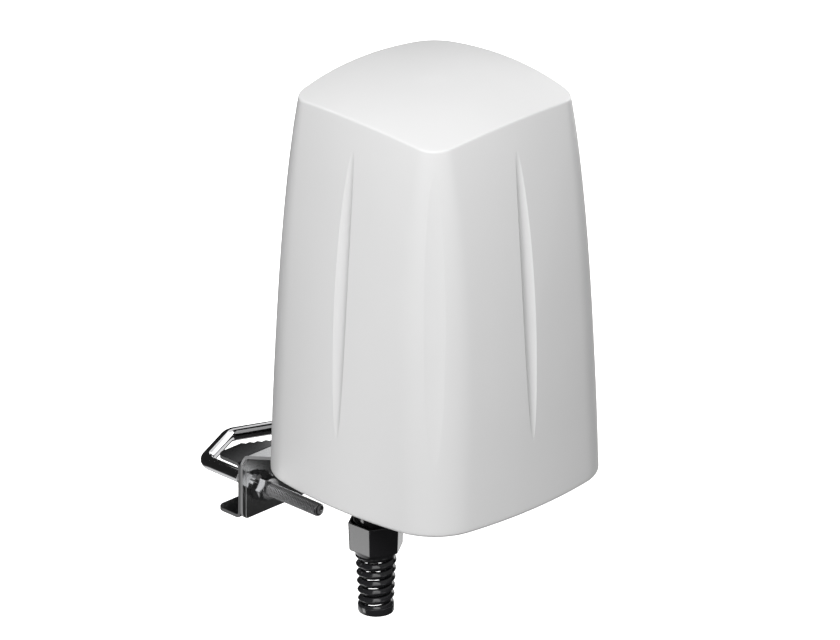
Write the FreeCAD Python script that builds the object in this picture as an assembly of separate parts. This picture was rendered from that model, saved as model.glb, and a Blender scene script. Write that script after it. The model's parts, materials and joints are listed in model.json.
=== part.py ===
import FreeCAD
import Part
import math
import os

# Outdoor antenna unit for radio and mobile data: a white moulded cover over a flat
# base, held to a round mast by a folded stainless bracket, a toothed saddle and a
# V-shaped U-bolt. A cable gland hangs below the base. Millimetres throughout.
#
# The shapes are drawn about the cover's own axis: X across, Y towards the mast and
# Z up from the cover's bottom rim. save() then moves them to the row frame, whose
# origin is on the mast's axis at the height of the U-bolt.

V = FreeCAD.Vector
X_AXIS = V(1, 0, 0)
Y_AXIS = V(0, 1, 0)
UP = V(0, 0, 1)

MAST_Y = 138.3
STUD_Z = -34.5

# Cover
RIM_HALF_WIDTH = 80.2
RIM_HALF_DIAGONAL = 94.1
SIDE_RADIUS = 290.0
SIDE_DRAFT = 0.015
SIDE_TAPER = 14.0
CORNER_DRAFT = 0.030
CORNER_TAPER = 9.4
TAPER_HEIGHT = 238.0
CORNER_TAPER_HEIGHT = 234.0
DOME_RADIUS = 290.0
DOME_TOP = 244.8
WALL = 3.5
CREASE_FILLET = 1.8
RIM_FILLET = 2.0
GROOVE_MIDDLE = 132.5
GROOVE_HALF_LENGTH = 88.5
FACE_GROOVE_DEPTH = 2.2
FACE_GROOVE_OFFSET = 4.6
CORNER_GROOVE_DEPTH = 1.2
CORNER_GROOVE_OFFSET = 28.8
GROOVE_WALL = 3.0
LEDGE_Z = 8.0
LEDGE_TOP = 12.5
LEDGE_INSET = 8.0
BOSS_AT = 57.6
BOSS_RADIUS = 5.5
BOSS_TOP = 24.0
COVER_INSERT_RADIUS = 2.8
COVER_INSERT_LENGTH = 9.0

# Base
BASE_BOTTOM = 1.5
BASE_TOP = 6.5
BASE_INSET = 3.9
GASKET_INSET = 4.1
PAD_HALF = 28.0
PAD_CORNER = 8.0
PAD_BOTTOM = -12.0
SCREW_SEAT_Z = 3.0
VENT_X = 48.0
VENT_Y = 10.0

# Mast bracket, folded from 2 mm sheet
SHEET = 2.0
LEG_FACE_Y = 106.3
LEG_HALF_WIDTH = 49.5
LEG_BOTTOM = -52.0
LEG_CORNER = 4.5
BEND_HALF_WIDTH = 47.0
NECK_HALF_WIDTH = 25.0
NECK_Y = 78.7
TONGUE_END_Y = -25.0
BRACKET_SCREW_AT = 16.0

# Saddle
SADDLE_HALF_LENGTH = 49.5
SADDLE_TOP = -17.0
SADDLE_BOTTOM = -52.0
SADDLE_TIP_Y = 128.4
SADDLE_CORNER = 5.5
NOTCH_HALF_WIDTH = 29.0
NOTCH_ROOT_Y = 112.0
TOOTH_COUNT = 7
TOOTH_DEPTH = 1.5

# U-bolt and its nuts
ROD_RADIUS = 4.0
ROD_AT = 35.0
ROD_TIP_Y = 57.9
SHOULDER_Y = 152.4
APEX_Y = 167.9
ROD_BEND = 9.0
ROD_HOLE_RADIUS = 4.5
NUT_HEIGHT = 8.0
NUT_FLATS = 13.0
NUT_FLANGE_RADIUS = 8.95
NUT_FLANGE_HEIGHT = 1.6
NUT_BORE_RADIUS = 4.05

# Cable gland
GLAND_X = -50.0
GLAND_Y = -2.6
GLAND_FLATS = 30.0
GLAND_FLANGE_HEIGHT = 8.0
GLAND_THREAD_RADIUS = 12.45
GLAND_TUBE_TOP = 15.0
NECK_RADIUS = 12.0
NECK_END = -27.0
CAP_FLATS = 29.3
CAP_TOP = -14.4
CAP_HEX_HEIGHT = 17.5
CAP_CONE_HEIGHT = 3.0
CAP_DRAFT = 0.55
CAP_TURN = 3.4
CAP_BORE_RADIUS = 12.08
CAP_SEAT = -31.5
SPIRAL_TOP_RADIUS = 12.0
SPIRAL_END_RADIUS = 10.2
SPIRAL_LENGTH = 32.4
SPIRAL_PITCH = 5.45
SPIRAL_BAND = 3.9
SPIRAL_WALL = 3.1
SPIRAL_RIDGE = 1.6
SPIRAL_START = 176.0
END_RING_HEIGHT = 5.0
END_RING_RADIUS = 10.6
SPIRAL_RUN_IN = 1.7
CABLE_RADIUS = 3.25

# Inside the cover
CHASSIS_Z = 30.0
CHASSIS_SHEET = 1.5
CHASSIS_HALF = 66.0
CHASSIS_CORNER_SUM = 100.0
STANDOFF_X = 47.0
STANDOFF_Y = 46.0
POST_STUD = 3.5
BOARD = 1.6
RADIO_Z = 36.0
RADIO_X = (-20.0, 46.0)
RADIO_HALF_Y = 40.0
LTE_Y = 52.0
LTE_HALF_WIDTH = 40.0
LTE_TOP = 190.0
WIFI_X = 54.0
WIFI_Y = (14.0, 46.0)
WIFI_TOP = 95.0
COAX_RADIUS = 0.9
PLUG_HEIGHT = 2.4


# ---------------------------------------------------------------- basic shapes

def box(x, y, z):
    """A block between pairs of X, Y and Z values."""
    size = (x[1] - x[0], y[1] - y[0], z[1] - z[0])
    return Part.makeBox(size[0], size[1], size[2], V(x[0], y[0], z[0]))


def rod(radius, low, high, x=0.0, y=0.0):
    """An upright cylinder from z low to z high."""
    return Part.makeCylinder(radius, high - low, V(x, y, low), UP)


def rod_y(radius, low, high, x, z):
    """A cylinder along Y."""
    return Part.makeCylinder(radius, high - low, V(x, low, z), Y_AXIS)


def rod_x(radius, low, high, y, z):
    """A cylinder along X."""
    return Part.makeCylinder(radius, high - low, V(low, y, z), X_AXIS)


def tube(outer, inner, low, high, x=0.0, y=0.0):
    """An upright pipe."""
    return rod(outer, low, high, x, y).cut(rod(inner, low - 1, high + 1, x, y))


def fused(shapes):
    """Joins a list of solids into one."""
    whole = shapes[0].fuse(shapes[1:]) if len(shapes) > 1 else shapes[0]
    return whole.removeSplitter()


def prism(points, along):
    """Extrudes a closed polygon of points by a vector."""
    outline = Part.makePolygon(list(points) + [points[0]])
    return Part.Face(outline).extrude(along)


def hexagon(flats, low, high, x=0.0, y=0.0):
    """An upright hexagonal prism with two flats square to X."""
    radius = flats / math.sqrt(3)
    turns = [math.radians(30 + 60 * k) for k in range(6)]
    points = [V(x + radius * math.cos(a), y + radius * math.sin(a), low) for a in turns]
    return prism(points, V(0, 0, high - low))


def soft_hexagon(flats, low, high, x, y, chamfer):
    """A hexagonal prism whose corners are turned down at both ends."""
    corner = flats / math.sqrt(3)
    flat = flats / 2
    rise = chamfer
    profile = [
        V(x, y, low),
        V(x + flat, y, low),
        V(x + corner, y, low + rise),
        V(x + corner, y, high - rise),
        V(x + flat, y, high),
        V(x, y, high),
    ]
    face = Part.Face(Part.makePolygon(profile + [profile[0]]))
    turned = face.revolve(V(x, y, 0), UP, 360)
    return hexagon(flats, low, high, x, y).common(turned)


def upright_edges(shape):
    """The straight edges of a shape that run along Z."""
    found = []
    for edge in shape.Edges:
        size = edge.BoundBox
        if size.XLength < 1e-6 and size.YLength < 1e-6:
            found.append(edge)
    return found


def rounded_box(x, y, z, corner):
    """A block with its four upright edges rounded."""
    block = box(x, y, z)
    return block.makeFillet(corner, upright_edges(block))


def at_four(x, y):
    """The four points (+-x, +-y)."""
    return [(x, y), (-x, y), (-x, -y), (x, -y)]


def turned(shape, quarter):
    """A copy of a shape turned about Z by a number of quarter turns."""
    copy = shape.copy()
    copy.rotate(V(0, 0, 0), UP, 90 * quarter)
    return copy


def save(name, shape):
    """Moves a shape to the row frame and writes its STEP file."""
    solids = shape.Solids
    for solid in solids:
        if not solid.isValid():
            print("not valid:", name)
    out = Part.makeCompound(solids) if len(solids) > 1 else solids[0]
    out.translate(V(0, -MAST_Y, -STUD_Z))
    out.exportStep("parts/" + name + ".step")
    print(name, len(solids), round(sum(s.Volume for s in solids) / 1000, 2), "cm3")


# --------------------------------------------------------------- cover outline

def half_width(z):
    """Half the cover's width across its flat sides at height z."""
    taper = (max(z, 0.0) / TAPER_HEIGHT) ** 3
    return RIM_HALF_WIDTH - SIDE_DRAFT * z - SIDE_TAPER * taper


def half_diagonal(z):
    """The distance from the axis to the cover's corner at height z."""
    taper = (max(z, 0.0) / CORNER_TAPER_HEIGHT) ** 3.3
    return RIM_HALF_DIAGONAL - CORNER_DRAFT * z - CORNER_TAPER * taper


def corner_circle(z, inset):
    """Radius and centre of the corner arc that meets both side arcs smoothly."""
    h = half_width(z) - inset
    d = half_diagonal(z) - inset
    side = SIDE_RADIUS - inset
    root = math.sqrt(2)
    top = d * d - root * (h - side) * d + h * h - 2 * h * side
    radius = top / (2 * d - root * (h - side) - 2 * side)
    return radius, (d - radius) / root


def section(z, inset):
    """The cover's outline at height z, moved inwards by inset: eight smooth arcs."""
    h = half_width(z) - inset
    side = SIDE_RADIUS - inset
    radius, centre = corner_circle(z, inset)
    swing = math.atan2(centre, centre - (h - side))
    edges = []
    for quarter in range(4):
        edges.append(side_arc(h - side, side, swing, z, quarter))
        edges.append(corner_arc(centre, radius, swing, z, quarter))
    return Part.Wire(edges)


def side_arc(middle, radius, swing, z, quarter):
    """One bowed side of the outline."""
    points = []
    for angle in (-swing, 0.0, swing):
        points.append((middle + radius * math.cos(angle), radius * math.sin(angle)))
    return arc_through(points, z, quarter)


def corner_arc(centre, radius, swing, z, quarter):
    """One round corner of the outline."""
    points = []
    for angle in (swing, math.pi / 4, math.pi / 2 - swing):
        points.append((centre + radius * math.cos(angle), centre + radius * math.sin(angle)))
    return arc_through(points, z, quarter)


def arc_through(points, z, quarter):
    """An arc through three plan points, turned by quarter turns."""
    cos = (1, 0, -1, 0)[quarter]
    sin = (0, 1, 0, -1)[quarter]
    spots = [V(x * cos - y * sin, x * sin + y * cos, z) for x, y in points]
    return Part.Arc(spots[0], spots[1], spots[2]).toShape()


def slab(z_low, z_high, inset):
    """A straight-sided slab with the cover's outline."""
    return Part.Face(section(z_low, inset)).extrude(V(0, 0, z_high - z_low))


def tapered_form(inset, low):
    """The cover's tapering form from z low up to the dome, moved inwards by inset."""
    heights = [low, 35, 70, 105, 140, 170, 200, 225, 250]
    walls = Part.makeLoft([section(z, inset) for z in heights], True, False)
    radius = DOME_RADIUS - inset
    dome = Part.makeSphere(radius, V(0, 0, DOME_TOP - DOME_RADIUS), UP)
    return walls.common(dome)


# --------------------------------------------------------------------- grooves

def groove_depth(z, depth):
    """The groove is deepest in its middle and runs out at both ends."""
    along = (z - GROOVE_MIDDLE) / GROOVE_HALF_LENGTH
    return depth * (1 - along * along)


def groove_tool(reach, offset, depth, spare):
    """A slender upright spindle outside the wall. reach(z) is the wall's distance."""
    rings = []
    span = GROOVE_HALF_LENGTH + 8.0
    for k in range(11):
        z = GROOVE_MIDDLE - span + 2 * span * k / 10
        radius = offset + groove_depth(z, depth) + spare
        ring = Part.Circle(V(reach(z) + offset, 0, z), UP, radius).toShape()
        rings.append(Part.Wire([ring]))
    return Part.makeLoft(rings, True, False)


def face_groove(spare):
    """The tool for the groove on the +X side."""
    return groove_tool(half_width, FACE_GROOVE_OFFSET, FACE_GROOVE_DEPTH, spare)


def corner_groove():
    """The tool for the shallow groove on the corner between +X and +Y."""
    tool = groove_tool(half_diagonal, CORNER_GROOVE_OFFSET, CORNER_GROOVE_DEPTH, 0.0)
    tool.rotate(V(0, 0, 0), UP, 45)
    return tool


# ----------------------------------------------------------------------- cover

def round_outside(form):
    """Rounds the crease under the dome and the bottom rim."""
    crease = []
    for edge in form.Edges:
        size = edge.BoundBox
        high = size.ZMin > 225 and size.XLength < 150 and size.YLength < 150
        wall_faces = form.ancestorsOfType(edge, Part.Face)
        spheres = [f for f in wall_faces if isinstance(f.Surface, Part.Sphere)]
        if high and len(spheres) == 1 and len(wall_faces) == 2:
            crease.append(edge)
    form = form.makeFillet(CREASE_FILLET, crease)
    rim = [e for e in form.Edges if e.BoundBox.ZMax < 0.01]
    return form.makeFillet(RIM_FILLET, rim)


def boss_solids():
    """Four screw bosses, each tied to its corner by a web."""
    solids = []
    for x, y in at_four(BOSS_AT, BOSS_AT):
        solids.append(rod(BOSS_RADIUS, LEDGE_Z, BOSS_TOP, x, y))
    for quarter in range(4):
        reach = BOSS_AT * math.sqrt(2)
        web = box((reach, reach + 16), (-1.5, 1.5), (LEDGE_Z, BOSS_TOP))
        web.rotate(V(0, 0, 0), UP, 45 + 90 * quarter)
        solids.append(web)
    return solids


def cavity():
    """The space inside the cover: skirt, ledge opening and the tall chamber."""
    chamber = tapered_form(WALL, LEDGE_TOP)
    ribs = [turned(face_groove(GROOVE_WALL), q) for q in range(4)]
    chamber = chamber.cut(ribs)
    neck = slab(LEDGE_Z, LEDGE_TOP, LEDGE_INSET)
    skirt = slab(-1.0, LEDGE_Z, WALL)
    space = chamber.fuse([neck, skirt])
    return space.cut(boss_solids())


def make_cover():
    """The moulded cover, which the radio waves pass through."""
    form = round_outside(tapered_form(0.0, 0.0))
    tools = [turned(face_groove(0.0), q) for q in range(4)]
    tools += [turned(corner_groove(), q) for q in range(4)]
    form = form.cut(tools)
    form = form.cut(cavity())
    holes = []
    for x, y in at_four(BOSS_AT, BOSS_AT):
        holes.append(rod(COVER_INSERT_RADIUS, LEDGE_Z, LEDGE_Z + 12, x, y))
    save("radome_cover", form.cut(holes))


def make_cover_inserts():
    """Brass thread inserts in the cover's bosses."""
    inserts = []
    for x, y in at_four(BOSS_AT, BOSS_AT):
        top = LEDGE_Z + COVER_INSERT_LENGTH
        inserts.append(tube(COVER_INSERT_RADIUS, 2.05, LEDGE_Z, top, x, y))
    save("cover_inserts", Part.makeCompound(inserts))


# ------------------------------------------------------------------------ base

def make_base_plate():
    """The base plate with its mounting pad, screw seats and ports."""
    plate = slab(BASE_BOTTOM, BASE_TOP, BASE_INSET)
    span = (-PAD_HALF, PAD_HALF)
    pad = rounded_box(span, span, (PAD_BOTTOM, BASE_BOTTOM + 1), PAD_CORNER)
    body = fused([plate, pad])
    holes = []
    for x, y in at_four(BOSS_AT, BOSS_AT):
        holes.append(rod(2.25, 0, BASE_TOP + 1, x, y))
        holes.append(rod(5.2, 0, SCREW_SEAT_Z, x, y))
    for x, y in at_four(BRACKET_SCREW_AT, BRACKET_SCREW_AT):
        holes.append(rod(3.5, PAD_BOTTOM - 1, PAD_BOTTOM + 10, x, y))
        holes.append(rod(2.6, PAD_BOTTOM + 9, PAD_BOTTOM + 12, x, y))
    for x, y in at_four(STANDOFF_X, STANDOFF_Y):
        holes.append(rod(2.05, BASE_TOP - POST_STUD, BASE_TOP + 1, x, y))
    holes.append(rod(12.6, 0, BASE_TOP + 1, GLAND_X, GLAND_Y))
    holes.append(rod(6.0, 0, BASE_TOP + 1, VENT_X, VENT_Y))
    save("base_plate", body.cut(holes))


def make_base_gasket():
    """The rubber seal between the base plate and the cover's ledge."""
    outer = slab(BASE_TOP, LEDGE_Z, GASKET_INSET)
    inner = slab(BASE_TOP - 1, LEDGE_Z + 1, LEDGE_INSET)
    save("base_gasket", outer.cut(inner))


def pan_screw(radius, head_radius, head, length, x, y, seat, down):
    """A pan head screw. Its head is on the seat, above it if the shank points down."""
    if down:
        cap = rod(head_radius, seat, seat + head, x, y)
        shank = rod(radius, seat - length, seat, x, y)
        slot = rod(head_radius * 0.4, seat + head * 0.4, seat + head + 1, x, y)
        edge_z = seat + head
    else:
        cap = rod(head_radius, seat - head, seat, x, y)
        shank = rod(radius, seat, seat + length, x, y)
        slot = rod(head_radius * 0.4, seat - head - 1, seat - head * 0.4, x, y)
        edge_z = seat - head
    rims = [e for e in cap.Edges if abs(e.CenterOfMass.z - edge_z) < 1e-6]
    cap = cap.makeFillet(head * 0.45, rims)
    return fused([cap, shank]).cut(slot)


def make_base_screws():
    """Screws that hold the cover down, and their sealing rings."""
    screws = []
    rings = []
    for x, y in at_four(BOSS_AT, BOSS_AT):
        screws.append(pan_screw(2.0, 3.9, 2.2, 12.0, x, y, SCREW_SEAT_Z - 1.0, False))
        rings.append(tube(4.6, 2.1, SCREW_SEAT_Z - 1.0, SCREW_SEAT_Z, x, y))
    save("base_screws", Part.makeCompound(screws))
    save("base_screw_seals", Part.makeCompound(rings))


def make_vent_plug():
    """A pressure vent pressed through the base."""
    head = rod(9.0, BASE_BOTTOM - 3.5, BASE_BOTTOM, VENT_X, VENT_Y)
    rims = [e for e in head.Edges if abs(e.CenterOfMass.z - (BASE_BOTTOM - 3.5)) < 1e-6]
    head = head.makeFillet(1.2, rims)
    shank = rod(5.95, BASE_BOTTOM, BASE_TOP + 3, VENT_X, VENT_Y)
    hole = rod(2.5, BASE_BOTTOM - 1, BASE_TOP + 4, VENT_X, VENT_Y)
    save("vent_plug", fused([head, shank]).cut(hole))


# ---------------------------------------------------------------- mast bracket

def make_bracket_fixings():
    """Inserts in the base's pad, and the screws and washers that hold the bracket."""
    inserts = []
    washers = []
    screws = []
    under = PAD_BOTTOM - SHEET
    for x, y in at_four(BRACKET_SCREW_AT, BRACKET_SCREW_AT):
        inserts.append(tube(3.5, 2.55, PAD_BOTTOM, PAD_BOTTOM + 10, x, y))
        washers.append(tube(5.0, 2.65, under - 1.0, under, x, y))
        screws.append(hex_screw(x, y, under - 1.0))
    save("bracket_inserts", Part.makeCompound(inserts))
    save("bracket_washers", Part.makeCompound(washers))
    save("bracket_screws", Part.makeCompound(screws))


def hex_screw(x, y, seat):
    """An M5 hexagon head screw pointing up."""
    head = soft_hexagon(8.0, seat - 3.5, seat, x, y, 0.5)
    return fused([head, rod(2.5, seat, seat + 12.0, x, y)])


def tongue_outline():
    """Plan of the tongue: wide at the leg, cut away to a narrow neck."""
    return [
        V(LEG_HALF_WIDTH, LEG_FACE_Y + 3, 0),
        V(LEG_HALF_WIDTH, LEG_FACE_Y + 0.3, 0),
        V(BEND_HALF_WIDTH, LEG_FACE_Y + 0.3, 0),
        V(NECK_HALF_WIDTH, NECK_Y, 0),
        V(NECK_HALF_WIDTH, TONGUE_END_Y, 0),
        V(-NECK_HALF_WIDTH, TONGUE_END_Y, 0),
        V(-NECK_HALF_WIDTH, NECK_Y, 0),
        V(-BEND_HALF_WIDTH, LEG_FACE_Y + 0.3, 0),
        V(-LEG_HALF_WIDTH, LEG_FACE_Y + 0.3, 0),
        V(-LEG_HALF_WIDTH, LEG_FACE_Y + 3, 0),
    ]


def leg_outline():
    """Front view of the leg, with its lower corners rounded."""
    low = PAD_BOTTOM - SHEET - 3
    leg = box((-LEG_HALF_WIDTH, LEG_HALF_WIDTH), (-60, 140), (LEG_BOTTOM, low))
    edges = edges_along_y(leg, LEG_BOTTOM)
    leg = leg.makeFillet(LEG_CORNER, edges)
    neck = box((-BEND_HALF_WIDTH, BEND_HALF_WIDTH), (-60, 140), (low, PAD_BOTTOM + 1))
    slope = [
        V(LEG_HALF_WIDTH, -60, low),
        V(BEND_HALF_WIDTH, -60, low + 3),
        V(-BEND_HALF_WIDTH, -60, low + 3),
        V(-LEG_HALF_WIDTH, -60, low),
    ]
    return fused([leg, neck, prism(slope, V(0, 200, 0))])


def edges_along_y(shape, z):
    """The straight edges along Y at height z."""
    found = []
    for edge in shape.Edges:
        size = edge.BoundBox
        if size.XLength < 1e-6 and size.ZLength < 1e-6 and abs(size.ZMin - z) < 1e-6:
            found.append(edge)
    return found


def edges_along_x(shape, y, z):
    """The straight edges along X at a given y and z."""
    found = []
    for edge in shape.Edges:
        size = edge.BoundBox
        flat = size.YLength < 1e-6 and size.ZLength < 1e-6
        if flat and abs(size.YMin - y) < 1e-6 and abs(size.ZMin - z) < 1e-6:
            found.append(edge)
    return found


def folded_strip():
    """The bracket's full-width fold: tongue, bend and leg."""
    wide = (-LEG_HALF_WIDTH, LEG_HALF_WIDTH)
    back = LEG_FACE_Y + SHEET
    tongue = box(wide, (TONGUE_END_Y, back), (PAD_BOTTOM - SHEET, PAD_BOTTOM))
    leg = box(wide, (LEG_FACE_Y, back), (LEG_BOTTOM, PAD_BOTTOM))
    fold = fused([tongue, leg])
    fold = fold.makeFillet(3.0, edges_along_x(fold, back, PAD_BOTTOM))
    return fold.makeFillet(1.0, edges_along_x(fold, LEG_FACE_Y, PAD_BOTTOM - SHEET))


def make_mast_bracket():
    """The folded bracket between the base and the mast clamp."""
    plan = prism([p + V(0, 0, -80) for p in tongue_outline()], V(0, 0, 100))
    corners = []
    for edge in upright_edges(plan):
        if edge.BoundBox.YMin < NECK_Y + 1:
            corners.append(edge)
    plan = plan.makeFillet(6.0, corners)
    shape = folded_strip().common(plan).common(leg_outline())
    holes = []
    for x in (-ROD_AT, ROD_AT):
        holes.append(rod_y(ROD_HOLE_RADIUS, LEG_FACE_Y - 5, LEG_FACE_Y + 5, x, STUD_Z))
    for x, y in at_four(BRACKET_SCREW_AT, BRACKET_SCREW_AT):
        holes.append(rod(2.75, PAD_BOTTOM - 5, PAD_BOTTOM + 5, x, y))
    save("mast_bracket", shape.cut(holes))


# ---------------------------------------------------------------------- saddle

def notch_points():
    """The toothed V in each flange, from its right tip round to its left tip."""
    right = []
    step = 1.0 / TOOTH_COUNT
    run = NOTCH_HALF_WIDTH
    rise = SADDLE_TIP_Y - NOTCH_ROOT_Y
    length = math.hypot(run, rise)
    normal = (rise / length, -run / length)
    for k in range(TOOTH_COUNT):
        low = 1 - k * step
        right.append((run * low, NOTCH_ROOT_Y + rise * low))
        deep = low - 0.5 * step
        x = run * deep + normal[0] * TOOTH_DEPTH
        y = NOTCH_ROOT_Y + rise * deep + normal[1] * TOOTH_DEPTH
        right.append((x, y))
    left = [(-x, y) for x, y in reversed(right)]
    return right + [(0.0, NOTCH_ROOT_Y)] + left


def make_saddle():
    """A channel whose two toothed flanges grip the mast."""
    span = (-SADDLE_HALF_LENGTH, SADDLE_HALF_LENGTH)
    face = LEG_FACE_Y + SHEET
    full = box(span, (face, SADDLE_TIP_Y), (SADDLE_BOTTOM, SADDLE_TOP))
    edges = edges_along_x(full, face, SADDLE_TOP) + edges_along_x(full, face, SADDLE_BOTTOM)
    full = full.makeFillet(3.5, edges)
    inner = (SADDLE_BOTTOM + SHEET, SADDLE_TOP - SHEET)
    hollow = box((-60, 60), (face + SHEET, SADDLE_TIP_Y + 5), inner)
    low = edges_along_x(hollow, face + SHEET, inner[0])
    high = edges_along_x(hollow, face + SHEET, inner[1])
    hollow = hollow.makeFillet(1.5, low + high)
    tips = [e for e in upright_edges(full) if abs(e.BoundBox.YMin - SADDLE_TIP_Y) < 1e-6]
    shape = full.makeFillet(SADDLE_CORNER, tips).cut(hollow)
    points = [V(x, y, SADDLE_BOTTOM - 5) for x, y in notch_points()]
    ends = [V(-NOTCH_HALF_WIDTH, 140, SADDLE_BOTTOM - 5), V(NOTCH_HALF_WIDTH, 140, SADDLE_BOTTOM - 5)]
    notch = prism(points + ends, V(0, 0, 45))
    holes = [notch]
    for x in (-ROD_AT, ROD_AT):
        holes.append(rod_y(ROD_HOLE_RADIUS, face - 1, face + 5, x, STUD_Z))
    save("saddle_channel", shape.cut(holes))


# ---------------------------------------------------------------- U-bolt, nuts

def bent_path(points, radii):
    """Straight runs joined by tangent arcs of the given radii."""
    edges = []
    start = points[0]
    for k in range(1, len(points) - 1):
        before = (points[k] - points[k - 1]).normalize()
        after = (points[k + 1] - points[k]).normalize()
        half = before.getAngle(after) / 2
        radius = radii[k - 1]
        back = radius * math.tan(half)
        inner = (after - before).normalize()
        first = points[k] - before * back
        last = points[k] + after * back
        middle = points[k] + inner * (radius / math.cos(half) - radius)
        edges.append(Part.LineSegment(start, first).toShape())
        edges.append(Part.Arc(first, middle, last).toShape())
        start = last
    edges.append(Part.LineSegment(start, points[-1]).toShape())
    return Part.Wire(edges)


def swept_rod(path, radius):
    """A round rod along a path."""
    first = path.Edges[0]
    start = first.valueAt(first.FirstParameter)
    heading = first.tangentAt(first.FirstParameter)
    ring = Part.Wire([Part.Circle(start, heading, radius).toShape()])
    return path.makePipeShell([ring], True, False)


def make_u_bolt():
    """The V-shaped U-bolt that pulls the mast into the saddle."""
    points = [
        V(-ROD_AT, ROD_TIP_Y, STUD_Z),
        V(-ROD_AT, SHOULDER_Y, STUD_Z),
        V(0, APEX_Y, STUD_Z),
        V(ROD_AT, SHOULDER_Y, STUD_Z),
        V(ROD_AT, ROD_TIP_Y, STUD_Z),
    ]
    bolt = swept_rod(bent_path(points, [ROD_BEND] * 3), ROD_RADIUS)
    tips = [e for e in bolt.Edges if abs(e.BoundBox.YMax - ROD_TIP_Y) < 1e-4]
    bolt = bolt.makeChamfer(1.0, tips)
    save("u_bolt", bolt)


def flange_nut(x):
    """A hexagon nut with a flange, its axis along Y and its flange on the bracket."""
    body = soft_hexagon(NUT_FLATS, 0.5, NUT_HEIGHT, 0, 0, 0.7)
    body.rotate(V(0, 0, 0), UP, 90)
    rim = NUT_FLANGE_RADIUS
    profile = [V(0, 0, 0), V(rim, 0, 0), V(rim, 0, NUT_FLANGE_HEIGHT), V(6.4, 0, 3.2), V(0, 0, 3.2)]
    face = Part.Face(Part.makePolygon(profile + [profile[0]]))
    flange = face.revolve(V(0, 0, 0), UP, 360)
    nut = fused([body, flange]).cut(rod(NUT_BORE_RADIUS, -1, NUT_HEIGHT + 1))
    nut.rotate(V(0, 0, 0), X_AXIS, 90)
    nut.translate(V(x, LEG_FACE_Y, STUD_Z))
    return nut


def make_clamp_nuts():
    """The two nuts that draw the U-bolt up."""
    save("clamp_nut_left", flange_nut(-ROD_AT))
    save("clamp_nut_right", flange_nut(ROD_AT))


# ----------------------------------------------------------------- cable gland

def make_gland_body():
    """The fixed part of the gland, with the seal's pocket in its neck."""
    x, y = GLAND_X, GLAND_Y
    flange = soft_hexagon(GLAND_FLATS, -GLAND_FLANGE_HEIGHT, 0, x, y, 0.8)
    shaft = rod(GLAND_THREAD_RADIUS, 0, GLAND_TUBE_TOP, x, y)
    neck = rod(NECK_RADIUS, NECK_END, -GLAND_FLANGE_HEIGHT, x, y)
    body = fused([flange, shaft, neck])
    pocket = rod(9.5, NECK_END - 1, -13.0, x, y)
    bore = rod(7.5, -14.0, GLAND_TUBE_TOP + 1, x, y)
    save("gland_body", body.cut([pocket, bore]))


def make_gland_rings():
    """Face seal, locknut, cable seal and thrust ring."""
    x, y = GLAND_X, GLAND_Y
    save("gland_face_seal", tube(14.8, 12.6, 0, BASE_BOTTOM, x, y))
    nut = soft_hexagon(32.0, BASE_TOP, BASE_TOP + 5, x, y, 0.8)
    save("gland_locknut", nut.cut(rod(12.5, BASE_TOP - 1, BASE_TOP + 6, x, y)))
    save("gland_seal", tube(9.4, CABLE_RADIUS, -24.0, -13.0, x, y))
    save("gland_thrust_ring", tube(9.2, 4.6, CAP_SEAT, CAP_SEAT + 3, x, y))


def drafted_hexagon(top, bottom, flats_top, flats_bottom, x, y):
    """A hexagon that narrows towards its bottom."""
    wires = []
    for z, flats in ((bottom, flats_bottom), (top, flats_top)):
        radius = flats / math.sqrt(3)
        turns = [math.radians(30 + 60 * k) for k in range(6)]
        points = [V(x + radius * math.cos(a), y + radius * math.sin(a), z) for a in turns]
        wires.append(Part.makePolygon(points + [points[0]]))
    return Part.makeLoft(wires, True, True)


def spiral_band():
    """The open coil that keeps the cable from bending sharply."""
    slope = math.degrees(math.atan((SPIRAL_TOP_RADIUS - SPIRAL_END_RADIUS) / SPIRAL_LENGTH))
    length = SPIRAL_LENGTH + 2 * SPIRAL_RUN_IN
    middle = SPIRAL_END_RADIUS - SPIRAL_WALL / 2
    path = Part.Wire(Part.makeLongHelix(SPIRAL_PITCH, length, middle, slope).Edges)
    half = SPIRAL_BAND / 2
    inner = middle - SPIRAL_WALL / 2
    outer = middle + SPIRAL_WALL / 2
    profile = [
        V(inner, 0, -half),
        V(outer - SPIRAL_RIDGE, 0, -half),
        V(outer, 0, -0.3),
        V(outer, 0, 0.3),
        V(outer - SPIRAL_RIDGE, 0, half),
        V(inner, 0, half),
    ]
    outline = Part.makePolygon(profile + [profile[0]])
    return path.makePipeShell([outline], True, True)


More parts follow.
